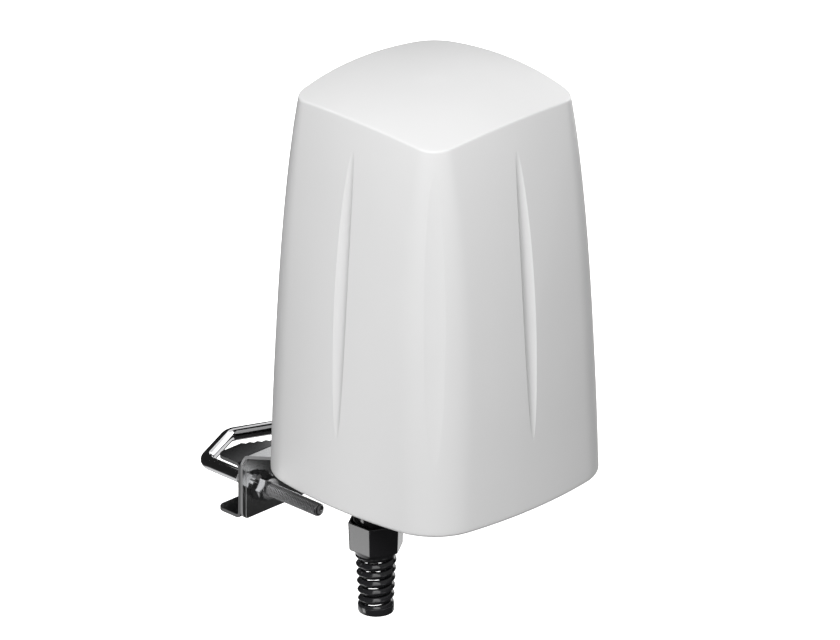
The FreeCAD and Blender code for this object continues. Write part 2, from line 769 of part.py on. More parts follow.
def make_gland_cap():
    """The gland's cap: hexagon, cone, open coil and end ring in one moulding."""
    hex_end = CAP_TOP - CAP_HEX_HEIGHT
    cone_end = hex_end - CAP_CONE_HEIGHT
    coil_end = cone_end - SPIRAL_LENGTH
    ring_end = coil_end - END_RING_HEIGHT
    grip = drafted_hexagon(CAP_TOP, hex_end, CAP_FLATS, CAP_FLATS - 2 * CAP_DRAFT, 0, 0)
    low_cone = Part.makeCone(15.8, 16.8, 1.0, V(0, 0, hex_end), UP)
    barrel = rod(16.8, hex_end + 1.0, CAP_TOP - 1.0)
    top_cone = Part.makeCone(16.8, 16.2, 1.0, V(0, 0, CAP_TOP - 1.0), UP)
    grip = grip.common(fused([low_cone, barrel, top_cone]))
    cone = Part.makeCone(SPIRAL_TOP_RADIUS + 0.3, 13.8, CAP_CONE_HEIGHT + 0.5, V(0, 0, cone_end), UP)
    coil = spiral_band()
    coil.rotate(V(0, 0, 0), UP, SPIRAL_START)
    coil.translate(V(0, 0, coil_end - SPIRAL_RUN_IN))
    ring = rod(END_RING_RADIUS, ring_end, coil_end)
    rims = [e for e in ring.Edges if abs(e.CenterOfMass.z - ring_end) < 1e-6]
    ring = ring.makeFillet(1.0, rims)
    shape = grip.fuse([cone, coil, ring])
    bores = [rod(CAP_BORE_RADIUS, CAP_SEAT, CAP_TOP + 1)]
    bores.append(rod(7.0, cone_end - 0.01, CAP_SEAT + 1))
    bores.append(rod(7.0, ring_end - 1, coil_end + 0.01))
    shape = shape.cut(bores)
    shape.rotate(V(0, 0, 0), UP, CAP_TURN)
    shape.translate(V(GLAND_X, GLAND_Y, 0))
    save("gland_cap", shape)


# ------------------------------------------------------------ inside the cover

def make_chassis():
    """The ground plate on its posts, with a notch over the gland for the cable."""
    top = CHASSIS_Z + CHASSIS_SHEET
    half = CHASSIS_HALF
    cut = CHASSIS_CORNER_SUM - half
    points = []
    for x, y in ((half, cut), (cut, half), (-cut, half), (-half, cut)):
        points.append(V(x, y, CHASSIS_Z))
    for x, y in ((-half, -cut), (-cut, -half), (cut, -half), (half, -cut)):
        points.append(V(x, y, CHASSIS_Z))
    plate = prism(points, V(0, 0, CHASSIS_SHEET))
    span = (GLAND_Y - 12, GLAND_Y + 12)
    notch = rounded_box((-80, -24), span, (CHASSIS_Z - 1, top + 1), 6.0)
    holes = [notch]
    posts = []
    screws = []
    for x, y in at_four(STANDOFF_X, STANDOFF_Y):
        holes.append(rod(2.2, CHASSIS_Z - 1, top + 1, x, y))
        stud = rod(2.0, BASE_TOP - POST_STUD, BASE_TOP, x, y)
        post = fused([hexagon(8.0, BASE_TOP, CHASSIS_Z, x, y), stud])
        posts.append(post.cut(rod(2.05, CHASSIS_Z - 10, CHASSIS_Z + 1, x, y)))
        screws.append(pan_screw(2.0, 3.6, 2.3, 8.0, x, y, top, True))
    for x, y in spacer_points():
        holes.append(rod(1.2, CHASSIS_Z - 1, top + 1, x, y))
    for x, y in foot_points():
        holes.append(rod(1.55, CHASSIS_Z - 1, top + 1, x, y))
    save("chassis_plate", plate.cut(holes))
    save("chassis_posts", Part.makeCompound(posts))
    save("chassis_screws", Part.makeCompound(screws))


def spacer_points():
    """Where the radio board stands on its spacers."""
    return [(-15.0, 36.5), (-15.0, -36.5), (41.0, 36.5), (41.0, -36.5)]


def plug_points():
    """Where the aerial leads start on the radio board."""
    return [(12.0, -27.0), (12.0, 27.0), (-14.0, 28.0), (30.0, -27.0), (40.0, 27.0)]


def make_radio_board():
    """The radio board with its can, data socket, spacers and screws."""
    top = RADIO_Z + BOARD
    plate_top = CHASSIS_Z + CHASSIS_SHEET
    spread = (-RADIO_HALF_Y, RADIO_HALF_Y)
    board = rounded_box(RADIO_X, spread, (RADIO_Z, top), 2.0)
    spacers = []
    screws = []
    for x, y in spacer_points():
        board = board.cut(rod(1.6, RADIO_Z - 1, top + 1, x, y))
        spacers.append(tube(3.0, 1.5, plate_top, RADIO_Z, x, y))
        screws.append(pan_screw(1.4, 2.75, 1.8, 5.0, x, y, top, True))
    save("radio_board", board)
    save("board_spacers", Part.makeCompound(spacers))
    save("board_screws", Part.makeCompound(screws))
    can = rounded_box((8, 42), (-20, 20), (top, top + 4.5), 1.5)
    save("shield_can", can.cut(box((8.4, 41.6), (-19.6, 19.6), (top, top + 4.1))))
    jack = box((-20, 1.5), (GLAND_Y - 8, GLAND_Y + 8), (top, top + 13.5))
    mouth = box((-21, -8), (GLAND_Y - 6, GLAND_Y + 6), (top + 3.5, top + 11.5))
    key = box((-21, -8), (GLAND_Y - 3, GLAND_Y + 3), (top + 1.5, top + 4.0))
    save("data_socket", jack.cut([mouth, key]))


def make_radiators():
    """The printed antennas: two tall boards and two short ones."""
    base = CHASSIS_Z + CHASSIS_SHEET
    wide = (-LTE_HALF_WIDTH, LTE_HALF_WIDTH)
    tall = box(wide, (LTE_Y - BOARD / 2, LTE_Y + BOARD / 2), (base, LTE_TOP))
    slots = [rod_y(1.6, LTE_Y - 5, LTE_Y + 5, x, base + 7) for x in (-31, 31)]
    tall = tall.cut(slots)
    save("lte_radiator_rear", tall)
    save("lte_radiator_front", turned(tall, 2))
    short = box((WIFI_X - BOARD / 2, WIFI_X + BOARD / 2), (-WIFI_Y[1], -WIFI_Y[0]), (base, WIFI_TOP))
    short = short.cut(rod_x(1.6, WIFI_X - 5, WIFI_X + 5, -sum(WIFI_Y) / 2, base + 7))
    save("wifi_radiator_right", short)
    save("wifi_radiator_left", turned(short, 2))


def foot_points():
    """Where the boards' angles are screwed to the chassis plate."""
    out = LTE_Y + BOARD / 2 + 7
    side = WIFI_X + BOARD / 2 + 7
    middle = sum(WIFI_Y) / 2
    return [(-31, out), (31, out), (-31, -out), (31, -out), (side, -middle), (-side, middle)]


def board_angle():
    """One folded angle, with its upright leg against a board on the -Y side."""
    base = CHASSIS_Z + CHASSIS_SHEET
    leg = box((-6, 6), (0, 1.2), (base, base + 12))
    foot = box((-6, 6), (0, 11), (base, base + 1.2))
    angle = fused([leg, foot])
    side = rod_y(1.6, -1, 3, 0, base + 7)
    return angle.cut([side, rod(1.6, base - 1, base + 3, 0, 7)])


def angle_screws():
    """The two small screws of one angle."""
    base = CHASSIS_Z + CHASSIS_SHEET
    down = pan_screw(1.45, 2.6, 1.7, 5.0, 0, 7, base + 1.2, True)
    flat = pan_screw(1.45, 2.6, 1.7, 4.0, 0, 0, 0, True)
    flat.rotate(V(0, 0, 0), X_AXIS, -90)
    flat.translate(V(0, 1.2, base + 7))
    return [down, flat]


def placed(shape, x, y, angle):
    """A copy turned about Z and then moved in plan."""
    copy = shape.copy()
    copy.rotate(V(0, 0, 0), UP, angle)
    copy.translate(V(x, y, 0))
    return copy


def make_angles():
    """Six angles that hold the antenna boards upright, and their screws."""
    face = LTE_Y + BOARD / 2
    side = WIFI_X + BOARD / 2
    middle = sum(WIFI_Y) / 2
    spots = [(-31, face, 0), (31, face, 0), (-31, -face, 180), (31, -face, 180)]
    spots += [(side, -middle, -90), (-side, middle, 90)]
    angles = []
    screws = []
    for x, y, turn in spots:
        angles.append(placed(board_angle(), x, y, turn))
        screws += [placed(s, x, y, turn) for s in angle_screws()]
    save("board_angles", Part.makeCompound(angles))
    save("angle_screws", Part.makeCompound(screws))


def make_top_bridge():
    """The bridge over the tall boards and the satellite receiver on it."""
    bar = rounded_box((-12, 12), (-57, 57), (LTE_TOP, LTE_TOP + 3), 3.0)
    lips = []
    for low, high in ((49.0, 51.1), (52.9, 55.0)):
        lips.append(box((-10, 10), (low, high), (LTE_TOP - 6, LTE_TOP)))
        lips.append(box((-10, 10), (-high, -low), (LTE_TOP - 6, LTE_TOP)))
    save("top_bridge", fused([bar] + lips))
    deck = LTE_TOP + 3
    save("gnss_board", rounded_box((-18, 18), (-18, 18), (deck, deck + BOARD), 2.0))
    patch = rounded_box((-12.5, 12.5), (-12.5, 12.5), (deck + BOARD, deck + BOARD + 4), 1.0)
    pin = rod(1.2, deck + BOARD + 4, deck + BOARD + 4.8, 2.0, 1.5)
    save("gnss_patch", fused([patch, pin]))


def aerial_routes():
    """Centre lines of the aerial leads, from the radio board to each antenna."""
    low = RADIO_Z + BOARD + PLUG_HEIGHT
    wall = LTE_Y - BOARD / 2 - PLUG_HEIGHT
    side = WIFI_X - BOARD / 2 - PLUG_HEIGHT
    end = LTE_TOP + 3 - PLUG_HEIGHT
    front, rear, left, right, sky = plug_points()
    return {
        "coax_lte_front": [V(*front, low), V(*front, 62), V(front[0], -wall, 62)],
        "coax_lte_rear": [V(*rear, low), V(*rear, 62), V(rear[0], wall, 62)],
        "coax_wifi_left": [V(*left, low), V(*left, 66), V(-side, left[1], 66)],
        "coax_wifi_right": [V(*right, low), V(*right, 62), V(side, right[1], 62)],
        "coax_gnss": [
            V(*sky, low),
            V(*sky, low + 12),
            V(43, 25, 76),
            V(41, 21, 114),
            V(32, 14, 146),
            V(15.5, 0, end - 14),
            V(15.5, 0, end),
        ],
    }


def route_radii(points):
    """The largest neat bend at each inner point of a route."""
    radii = []
    for k in range(1, len(points) - 1):
        before = points[k] - points[k - 1]
        after = points[k + 1] - points[k]
        half = before.getAngle(after) / 2
        radii.append(0.45 * min(before.Length, after.Length) / math.tan(half))
    return radii


def make_leads():
    """The aerial leads and the plugs at their ends."""
    plugs = []
    low = RADIO_Z + BOARD
    for x, y in plug_points():
        plugs.append(rod(2.3, low, low + PLUG_HEIGHT, x, y))
    routes = aerial_routes()
    for name in sorted(routes):
        points = routes[name]
        radii = route_radii(points)
        path = bent_path(points, radii)
        lead = swept_rod(path, COAX_RADIUS)
        ideal = math.pi * COAX_RADIUS ** 2 * path.Length
        print(name, "bends", [round(r, 1) for r in radii], "volume ratio", round(lead.Volume / ideal, 4))
        heading = (points[-1] - points[-2]).normalize()
        plugs.append(Part.makeCylinder(2.3, PLUG_HEIGHT, points[-1], heading))
        save(name, lead)
    save("coax_plugs", Part.makeCompound(plugs))


def main():
    os.makedirs("parts", exist_ok=True)
    make_cover()
    make_cover_inserts()
    make_base_plate()
    make_base_gasket()
    make_base_screws()
    make_vent_plug()
    make_bracket_fixings()
    make_mast_bracket()
    make_saddle()
    make_u_bolt()
    make_clamp_nuts()
    make_gland_body()
    make_gland_rings()
    make_gland_cap()
    make_chassis()
    make_radio_board()
    make_radiators()
    make_angles()
    make_top_bridge()
    make_leads()


main()
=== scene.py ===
import bpy
import json
import math
import random
import numpy as np
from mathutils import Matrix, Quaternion, Vector


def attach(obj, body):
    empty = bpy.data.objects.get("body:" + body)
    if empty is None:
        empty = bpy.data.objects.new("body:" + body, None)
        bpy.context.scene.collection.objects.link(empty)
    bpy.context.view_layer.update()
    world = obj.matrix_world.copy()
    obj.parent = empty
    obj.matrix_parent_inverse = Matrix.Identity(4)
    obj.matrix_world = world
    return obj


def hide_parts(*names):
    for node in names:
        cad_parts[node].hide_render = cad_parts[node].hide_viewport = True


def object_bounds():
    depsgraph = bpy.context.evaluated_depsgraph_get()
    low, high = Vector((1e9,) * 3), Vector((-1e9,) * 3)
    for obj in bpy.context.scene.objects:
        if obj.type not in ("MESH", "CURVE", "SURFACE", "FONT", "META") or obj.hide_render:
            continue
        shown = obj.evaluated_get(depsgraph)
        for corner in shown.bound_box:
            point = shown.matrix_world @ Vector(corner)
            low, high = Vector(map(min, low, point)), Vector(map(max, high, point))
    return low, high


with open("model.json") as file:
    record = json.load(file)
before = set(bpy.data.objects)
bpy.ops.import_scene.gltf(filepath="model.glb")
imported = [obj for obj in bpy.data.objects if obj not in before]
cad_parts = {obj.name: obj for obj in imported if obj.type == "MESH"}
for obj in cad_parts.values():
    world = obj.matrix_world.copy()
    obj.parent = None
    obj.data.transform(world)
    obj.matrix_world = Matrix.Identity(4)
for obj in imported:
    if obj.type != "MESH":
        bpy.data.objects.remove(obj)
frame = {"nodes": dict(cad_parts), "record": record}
cad_low, cad_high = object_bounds()

MM = 0.001
MAST_Y = 0.1383
RIM_Z = 0.0345


def at(x, y, z):
    """A point given in millimetres from the cover's axis and rim, in the row frame."""
    return Vector((x * MM, y * MM - MAST_Y, z * MM + RIM_Z))


# ------------------------------------------------------------------- materials

def shader(name):
    """A new material, its node tree and its Principled shader."""
    mat = bpy.data.materials.new(name)
    mat.use_nodes = True
    return mat, mat.node_tree, mat.node_tree.nodes["Principled BSDF"]


def node(tree, kind, **values):
    """Adds a node and sets its named inputs or properties."""
    made = tree.nodes.new(kind)
    for key, value in values.items():
        if key in made.inputs:
            made.inputs[key].default_value = value
        else:
            setattr(made, key, value)
    return made


def coords(tree, scale=(1.0, 1.0, 1.0)):
    """Object coordinates in metres, stretched by a scale."""
    source = node(tree, "ShaderNodeTexCoord")
    mapping = node(tree, "ShaderNodeMapping")
    mapping.inputs["Scale"].default_value = scale
    tree.links.new(source.outputs["Object"], mapping.inputs["Vector"])
    return mapping.outputs["Vector"]


def noise(tree, vector, scale, detail, rough=0.5):
    """A noise value, with features of about 1 / scale metres."""
    made = node(tree, "ShaderNodeTexNoise", Scale=scale, Detail=detail, Roughness=rough)
    tree.links.new(vector, made.inputs["Vector"])
    return made.outputs["Fac"]


def remap(tree, value, low, high, start=0.3, stop=0.7):
    """Maps a value from start..stop to low..high."""
    made = node(tree, "ShaderNodeMapRange")
    made.inputs["From Min"].default_value = start
    made.inputs["From Max"].default_value = stop
    made.inputs["To Min"].default_value = low
    made.inputs["To Max"].default_value = high
    tree.links.new(value, made.inputs["Value"])
    return made.outputs["Result"]


def two_tone(tree, value, first, second, start=0.3, stop=0.7):
    """A colour between two colours."""
    ramp = node(tree, "ShaderNodeValToRGB")
    ramp.color_ramp.elements[0].position = start
    ramp.color_ramp.elements[0].color = (*first, 1.0)
    ramp.color_ramp.elements[1].position = stop
    ramp.color_ramp.elements[1].color = (*second, 1.0)
    tree.links.new(value, ramp.inputs["Fac"])
    return ramp.outputs["Color"]


def combine(tree, operation, first, second):
    """Works on a value with another value or a plain number."""
    made = node(tree, "ShaderNodeMath", operation=operation)
    tree.links.new(first, made.inputs[0])
    if isinstance(second, float):
        made.inputs[1].default_value = second
    else:
        tree.links.new(second, made.inputs[1])
    return made.outputs[0]


def unsigned(tree, value):
    """A value without its sign."""
    made = node(tree, "ShaderNodeMath", operation="ABSOLUTE")
    tree.links.new(value, made.inputs[0])
    return made.outputs[0]


def dot_product(tree, vector, direction):
    """How far a vector points along a fixed direction."""
    made = node(tree, "ShaderNodeVectorMath", operation="DOT_PRODUCT")
    tree.links.new(vector, made.inputs[0])
    made.inputs[1].default_value = direction
    return made.outputs["Value"]


def tint(tree, bsdf, share, colour):
    """Mixes a colour into the shader's linked base colour, by a share from 0 to 1."""
    mix = node(tree, "ShaderNodeMix", data_type="RGBA")
    tree.links.new(share, mix.inputs[0])
    tree.links.new(bsdf.inputs["Base Color"].links[0].from_socket, mix.inputs[6])
    mix.inputs[7].default_value = (*colour, 1.0)
    tree.links.new(mix.outputs[2], bsdf.inputs["Base Color"])


def bump(tree, bsdf, value, strength, distance):
    """Adds a bump, on top of one that is there already."""
    made = node(tree, "ShaderNodeBump", Strength=strength, Distance=distance)
    tree.links.new(value, made.inputs["Height"])
    socket = bsdf.inputs["Normal"]
    if socket.is_linked:
        tree.links.new(socket.links[0].from_socket, made.inputs["Normal"])
    tree.links.new(made.outputs["Normal"], socket)


def plastic(name, colour, rough, grain=900.0, depth=0.00002, spread=0.02, coat=0.0):
    """Moulded plastic with a fine grain and slight unevenness."""
    mat, tree, bsdf = shader(name)
    place = coords(tree)
    broad = noise(tree, place, 14.0, 4.0)
    fine = noise(tree, place, grain, 2.0)
    dark = tuple(c * (1 - spread) for c in colour)
    tree.links.new(two_tone(tree, broad, dark, colour), bsdf.inputs["Base Color"])
    tree.links.new(remap(tree, broad, rough * 0.92, rough * 1.08), bsdf.inputs["Roughness"])
    bump(tree, bsdf, fine, 0.25, depth)
    bsdf.inputs["IOR"].default_value = 1.48
    bsdf.inputs["Coat Weight"].default_value = coat
    bsdf.inputs["Coat Roughness"].default_value = 0.08
    return mat


def metal(name, colour, rough, stretch=(1.0, 1.0, 1.0), grain=300.0, depth=0.000004, spread=0.12):
    """Metal with a drawn or rolled grain along the least stretched axis."""
    mat, tree, bsdf = shader(name)
    bsdf.inputs["Metallic"].default_value = 1.0
    grained = coords(tree, stretch)
    plain = coords(tree)
    lines = noise(tree, grained, grain, 4.0, 0.6)
    blots = noise(tree, plain, 45.0, 5.0, 0.6)
    dark = tuple(c * (1 - spread) for c in colour)
    tree.links.new(two_tone(tree, blots, dark, colour), bsdf.inputs["Base Color"])
    tree.links.new(remap(tree, lines, rough * 0.8, rough * 1.25), bsdf.inputs["Roughness"])
    bump(tree, bsdf, lines, 0.3, depth)
    return mat


def mask_board(name, colour):
    """A printed circuit board: solder mask with faint tracks under it."""
    mat, tree, bsdf = shader(name)
    place = coords(tree)
    cells = node(tree, "ShaderNodeTexBrick", Scale=110.0)
    cells.inputs["Mortar Size"].default_value = 0.02
    cells.inputs["Brick Width"].default_value = 0.7
    cells.inputs["Row Height"].default_value = 0.16
    tree.links.new(place, cells.inputs["Vector"])
    bright = tuple(min(1.0, c * 1.5 + 0.01) for c in colour)
    tracks = cells.outputs["Fac"]
    tree.links.new(two_tone(tree, tracks, bright, colour, 0.2, 0.8), bsdf.inputs["Base Color"])
    weave = noise(tree, place, 1500.0, 2.0)
    bsdf.inputs["Roughness"].default_value = 0.3
    bump(tree, bsdf, weave, 0.2, 0.00001)
    bump(tree, bsdf, tracks, 0.3, 0.00002)
    return mat


def threaded(mat):
    """Makes the thread's flanks less metallic and paints shade into its valleys, darkening the roots
    towards near-black.
    """
    tree = mat.node_tree
    bsdf = tree.nodes["Principled BSDF"]
    valley = node(tree, "ShaderNodeAttribute", attribute_name="valley").outputs["Fac"]
    # Painted shade: from half depth down to the roots, the thread's colour is mixed towards near-black.
    tint(tree, bsdf, remap(tree, valley, 0.0, 0.95, 0.5, 1.0), (0.015, 0.015, 0.016))
    tree.links.new(remap(tree, valley, 1.0, 0.45, 0.05, 0.3), bsdf.inputs["Metallic"])


def cut_edges(mat, tone):
    """Gives a folded sheet rough, paler edges where it was cut, on its ends along X."""
    tree = mat.node_tree
    bsdf = tree.nodes["Principled BSDF"]
    place = node(tree, "ShaderNodeTexCoord")
    split = node(tree, "ShaderNodeSeparateXYZ")
    tree.links.new(place.outputs["Normal"], split.inputs[0])
    edge = remap(tree, unsigned(tree, split.outputs["X"]), 0.0, 1.0, 0.35, 0.6)
    tint(tree, bsdf, edge, (tone, tone, tone * 1.01))
    tree.links.new(remap(tree, edge, 1.0, 0.15, 0.0, 1.0), bsdf.inputs["Metallic"])


cover_white = plastic("cover_white", (0.80, 0.80, 0.80), 0.42, 1400.0, 0.000012, 0.015)
base_white = plastic("base_white", (0.72, 0.72, 0.71), 0.5, 900.0, 0.00004, 0.03)
bridge_white = plastic("bridge_white", (0.70, 0.70, 0.68), 0.45, 900.0, 0.00004, 0.04)
seal_rubber = plastic("seal_rubber", (0.022, 0.022, 0.022), 0.72, 700.0, 0.00004, 0.3)
gland_black = plastic("gland_black", (0.020, 0.020, 0.022), 0.16, 500.0, 0.00001, 0.3, 0.3)
vent_grey = plastic("vent_grey", (0.14, 0.14, 0.15), 0.45, 900.0, 0.00003, 0.1)
lead_jacket = plastic("lead_jacket", (0.03, 0.03, 0.034), 0.35, 900.0, 0.00002, 0.2)
ceramic = plastic("ceramic", (0.62, 0.55, 0.45), 0.5, 1800.0, 0.00003, 0.12)
bracket_steel = metal("bracket_steel", (0.50, 0.505, 0.51), 0.16, (1.0, 12.0, 12.0), 260.0, 0.000002, 0.06)
# The saddle's steel gets a near-black base colour: painted shade, standing in for the dark reflections its
# faces catch.
saddle_steel = metal("saddle_steel", (0.05, 0.051, 0.053), 0.18, (1.0, 12.0, 12.0), 260.0, 0.000002, 0.06)
u_bolt_steel = metal("u_bolt_steel", (0.60, 0.60, 0.61), 0.07, (20.0, 1.0, 20.0), 200.0, 0.000002, 0.06)
nut_steel = metal("nut_steel", (0.56, 0.56, 0.57), 0.13, (1.0, 1.0, 1.0), 700.0)
screw_steel = metal("screw_steel", (0.58, 0.58, 0.58), 0.25, (1.0, 1.0, 1.0), 700.0)
can_tin = metal("can_tin", (0.66, 0.66, 0.65), 0.28, (1.0, 8.0, 8.0), 300.0)
chassis_aluminium = metal("chassis_aluminium", (0.72, 0.73, 0.74), 0.36, (10.0, 1.0, 10.0), 280.0)
insert_brass = metal("insert_brass", (0.72, 0.52, 0.22), 0.3, (1.0, 1.0, 1.0), 600.0)
plug_gold = metal("plug_gold", (0.86, 0.66, 0.30), 0.2, (1.0, 1.0, 1.0), 600.0)
board_green = mask_board("board_green", (0.012, 0.10, 0.035))
radiator_green = mask_board("radiator_green", (0.012, 0.075, 0.045))
threaded(u_bolt_steel)
cut_edges(bracket_steel, 0.34)
cut_edges(saddle_steel, 0.16)

SLOTS = {
    "cover_white": cover_white,
    "base_white": base_white,
    "bridge_white": bridge_white,
    "seal_rubber": seal_rubber,
    "gland_black": gland_black,
    "vent_grey": vent_grey,
    "lead_jacket": lead_jacket,
    "ceramic": ceramic,
    "bracket_steel": bracket_steel,
    "saddle_steel": saddle_steel,
    "u_bolt_steel": u_bolt_steel,
    "nut_steel": nut_steel,
    "screw_steel": screw_steel,
    "can_tin": can_tin,
    "chassis_aluminium": chassis_aluminium,
    "insert_brass": insert_brass,
    "plug_gold": plug_gold,
    "board_green": board_green,
    "radiator_green": radiator_green,
}


def paint(obj, mat):
    """Gives the whole object one material."""
    if obj.material_slots:
        for place in obj.material_slots:
            place.material = mat
    else:
        obj.data.materials.append(mat)


for entry in frame["record"]["subparts"]:
    paint(frame["nodes"][entry["node"]], SLOTS[entry["material_slot"]])


# ---------------------------------------------------------------------- meshes

def piece(name, points, faces, mat, body, crease=35.0):
    """A new smooth-shaded piece of the object, with sharp edges above the crease angle."""
    mesh = bpy.data.meshes.new(name)
    mesh.from_pydata([tuple(p) for p in points], [], faces)
    mesh.update()
    mesh.shade_smooth()
    mesh.set_sharp_from_angle(angle=math.radians(crease))
    obj = bpy.data.objects.new(name, mesh)
    bpy.context.scene.collection.objects.link(obj)
    obj.data.materials.append(mat)
    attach(obj, body)
    return obj


def strip_faces(rows, columns, flip=False):
    """Quads between closed rings of points; flip turns them inside out."""
    faces = []
    for i in range(rows - 1):
        a = i * columns
        b = a + columns
        for j in range(columns):
            k = (j + 1) % columns
            quad = (a + j, a + k, b + k, b + j)
            faces.append(quad[::-1] if flip else quad)
    return faces


# ----------------------------------------------------------------------- cover
# The outline is the CAD model's own: four bowed sides and four round corners that
# shrink towards the top, under a shallow dome, with a slender groove on each.
# Lengths are in millimetres. SIDE and DOME are radii, and a groove's bottom is an arc
# about a line that lies its OFFSET outside the wall. SHARES are places across half a
# groove, and STEPS are the distances of the next few points beside it.

SIDE = 290.0
DOME = 290.0
DOME_TOP = 244.8
DOME_MIDDLE = DOME_TOP - DOME
RIM_HALF_WIDTH = 80.17
RIM_HALF_DIAGONAL = 94.07
WALL = 3.5
RIM_ROUND = 2.0
LEDGE_WIDTH = 8.0
LEDGE_FOOT = 8.0
LEDGE_TOP = 12.5
GROOVE_MIDDLE = 132.5
GROOVE_REACH = 88.5
SIDE_GROOVE = 2.2
SIDE_GROOVE_OFFSET = 4.6
CORNER_GROOVE = 1.2
CORNER_GROOVE_OFFSET = 28.8
SHARES = [0.0, 0.22, 0.42, 0.60, 0.75, 0.87, 0.95, 1.0]
STEPS = [0.25, 0.7, 1.5, 2.8]
ROOT_TWO = math.sqrt(2)


def half_width(z):
    """From the axis to the middle of a side, at height z."""
    return RIM_HALF_WIDTH - 0.015 * z - 14.0 * (max(z, 0.0) / 238.0) ** 3


def half_diagonal(z):
    """From the axis to the middle of a corner, at height z."""
    return RIM_HALF_DIAGONAL - 0.030 * z - 9.4 * (max(z, 0.0) / 234.0) ** 3.3


def corner_circle(z):
    """Radius of a corner that meets both its sides smoothly, and its middle's x and y."""
    h = half_width(z)
    d = half_diagonal(z)
    top = d * d - ROOT_TWO * (h - SIDE) * d + h * h - 2 * h * SIDE
    radius = top / (2 * d - ROOT_TWO * (h - SIDE) - 2 * SIDE)
    return radius, (d - radius) / ROOT_TWO


def groove_depth(z, depth):
    """A groove's depth at height z, from its greatest; it is below 0 past the groove's ends."""
    along = (z - GROOVE_MIDDLE) / GROOVE_REACH
    return depth * (1 - along * along)


def groove_half(offset, deep, wall):
    """Half the groove's width, where its round bottom meets the wall. The bottom is an
    arc about a line that far outside the wall, and wall gives how far the wall falls back."""
    if deep <= 0:
        return 0.0
    low, high = 0.0, (offset + deep) * 0.98
    for _ in range(40):
        q = (low + high) / 2
        if groove_floor(offset, deep, q) < wall(q):
            low = q
        else:
            high = q
    return low


def groove_floor(offset, deep, q):
    """The groove's bottom, beyond the wall's own middle, at q to one side."""
    return offset - math.sqrt((offset + deep) ** 2 - q * q)


def side_points(z, grooved):
    """From the middle of the +X side to where the corner begins."""
    h = half_width(z)
    centre = corner_circle(z)[1]
    end = SIDE * math.sin(math.atan2(centre, centre - (h - SIDE)))
    deep = groove_depth(z, SIDE_GROOVE)
    half = groove_half(SIDE_GROOVE_OFFSET, deep, lambda q: math.sqrt(SIDE * SIDE - q * q) - SIDE)
    half = max(half, 0.2)
    points = []
    for share in SHARES:
        q = share * half
        x = h - SIDE + math.sqrt(SIDE * SIDE - q * q)
        if grooved and deep > 0:
            x = min(x, h + groove_floor(SIDE_GROOVE_OFFSET, deep, q))
        points.append((x, q))
    spots = [half + step for step in STEPS]
    spots += [spots[-1] + (end - spots[-1]) * k / 12 for k in range(1, 13)]
    for q in spots:
        points.append((h - SIDE + math.sqrt(SIDE * SIDE - q * q), q))
    return points


def corner_points(z, grooved):
    """From just past the corner's beginning to the corner's middle."""
    h = half_width(z)
    radius, centre = corner_circle(z)
    swing = math.atan2(centre, centre - (h - SIDE))
    deep = groove_depth(z, CORNER_GROOVE)
    reach = half_diagonal(z)
    half = groove_half(CORNER_GROOVE_OFFSET, deep, lambda q: math.sqrt(radius * radius - q * q) - radius)
    half = max(half, 0.2)
    spots = [half + step for step in reversed(STEPS)]
    first = math.pi / 4 - math.asin(min(spots[0] / radius, 0.7))
    points = []
    for k in range(1, 8):
        angle = swing + (first - swing) * k / 8
        points.append((centre + radius * math.cos(angle), centre + radius * math.sin(angle)))
    for q in spots + [share * half for share in reversed(SHARES)]:
        out = centre * ROOT_TWO + math.sqrt(radius * radius - q * q)
        if grooved and deep > 0 and q <= half:
            out = min(out, reach + groove_floor(CORNER_GROOVE_OFFSET, deep, q))
        points.append(((out + q) / ROOT_TWO, (out - q) / ROOT_TWO))
    return points


def outline(z, grooved=True):
    """The closed outline at height z, anticlockwise from the middle of the +X side."""
    eighth = side_points(z, grooved) + corner_points(z, grooved)
    other = [(y, x) for x, y in reversed(eighth[:-1])]
    quarter = eighth + other[:-1]
    points = []
    for cos, sin in ((1, 0), (0, 1), (-1, 0), (0, -1)):
        points += [(x * cos - y * sin, x * sin + y * cos) for x, y in quarter]
    return np.array(points)


TABLE_STEP = 1.0
HEIGHTS = np.arange(0.0, 248.0, TABLE_STEP)
GROOVED = np.array([outline(z) for z in HEIGHTS])
PLAIN = np.array([outline(z, False) for z in HEIGHTS])
COLUMNS = GROOVED.shape[1]
EACH = np.arange(COLUMNS)


def level(table, heights):
    """Outline points at a height of their own for each column."""
    place = np.clip(heights / TABLE_STEP, 0, len(HEIGHTS) - 1.001)
    low = place.astype(int)
    part = (place - low)[:, None]
    return table[low, EACH] * (1 - part) + table[low + 1, EACH] * part


def inward(points):
    """Unit normals that point into a closed outline."""
    along = np.roll(points, -1, 0) - np.roll(points, 1, 0)
    normal = np.stack([-along[:, 1], along[:, 0]], 1)
    return normal / np.linalg.norm(normal, axis=1)[:, None]


def ring(plan, heights):
    """A ring of 3D points."""
    return np.column_stack([plan, np.broadcast_to(heights, (COLUMNS,))])


def crease_heights(inset):
    """Where each column of the wall meets the dome."""
    low = np.full(COLUMNS, 200.0)
    high = np.full(COLUMNS, 246.0)
    for _ in range(40):
        z = (low + high) / 2
        plan = level(PLAIN, z)
        plan = plan + inward(plan) * inset
        far = np.sqrt((plan ** 2).sum(1) + (z - DOME_MIDDLE) ** 2) > DOME - inset
        high = np.where(far, z, high)
        low = np.where(far, low, z)
    return low


def wall_rows(table, start, stop, count, inset):
    """Rings up the wall from start to each column's own stop."""
    rows = []
    for k in range(count):
        z = start + (stop - start) * k / (count - 1)
        plan = level(table, z)
        if inset:
            plan = plan + inward(level(PLAIN, z)) * inset
        rows.append(ring(plan, z))
    return rows


def crease_rows(below, corner, inside):
    """A rounded edge through three rings, as a curve that leaves the first and last smoothly."""
    rows = []
    for k in range(1, 7):
        t = k / 7
        rows.append(below * (1 - t) ** 2 + corner * 2 * t * (1 - t) + inside * t * t)
    return rows


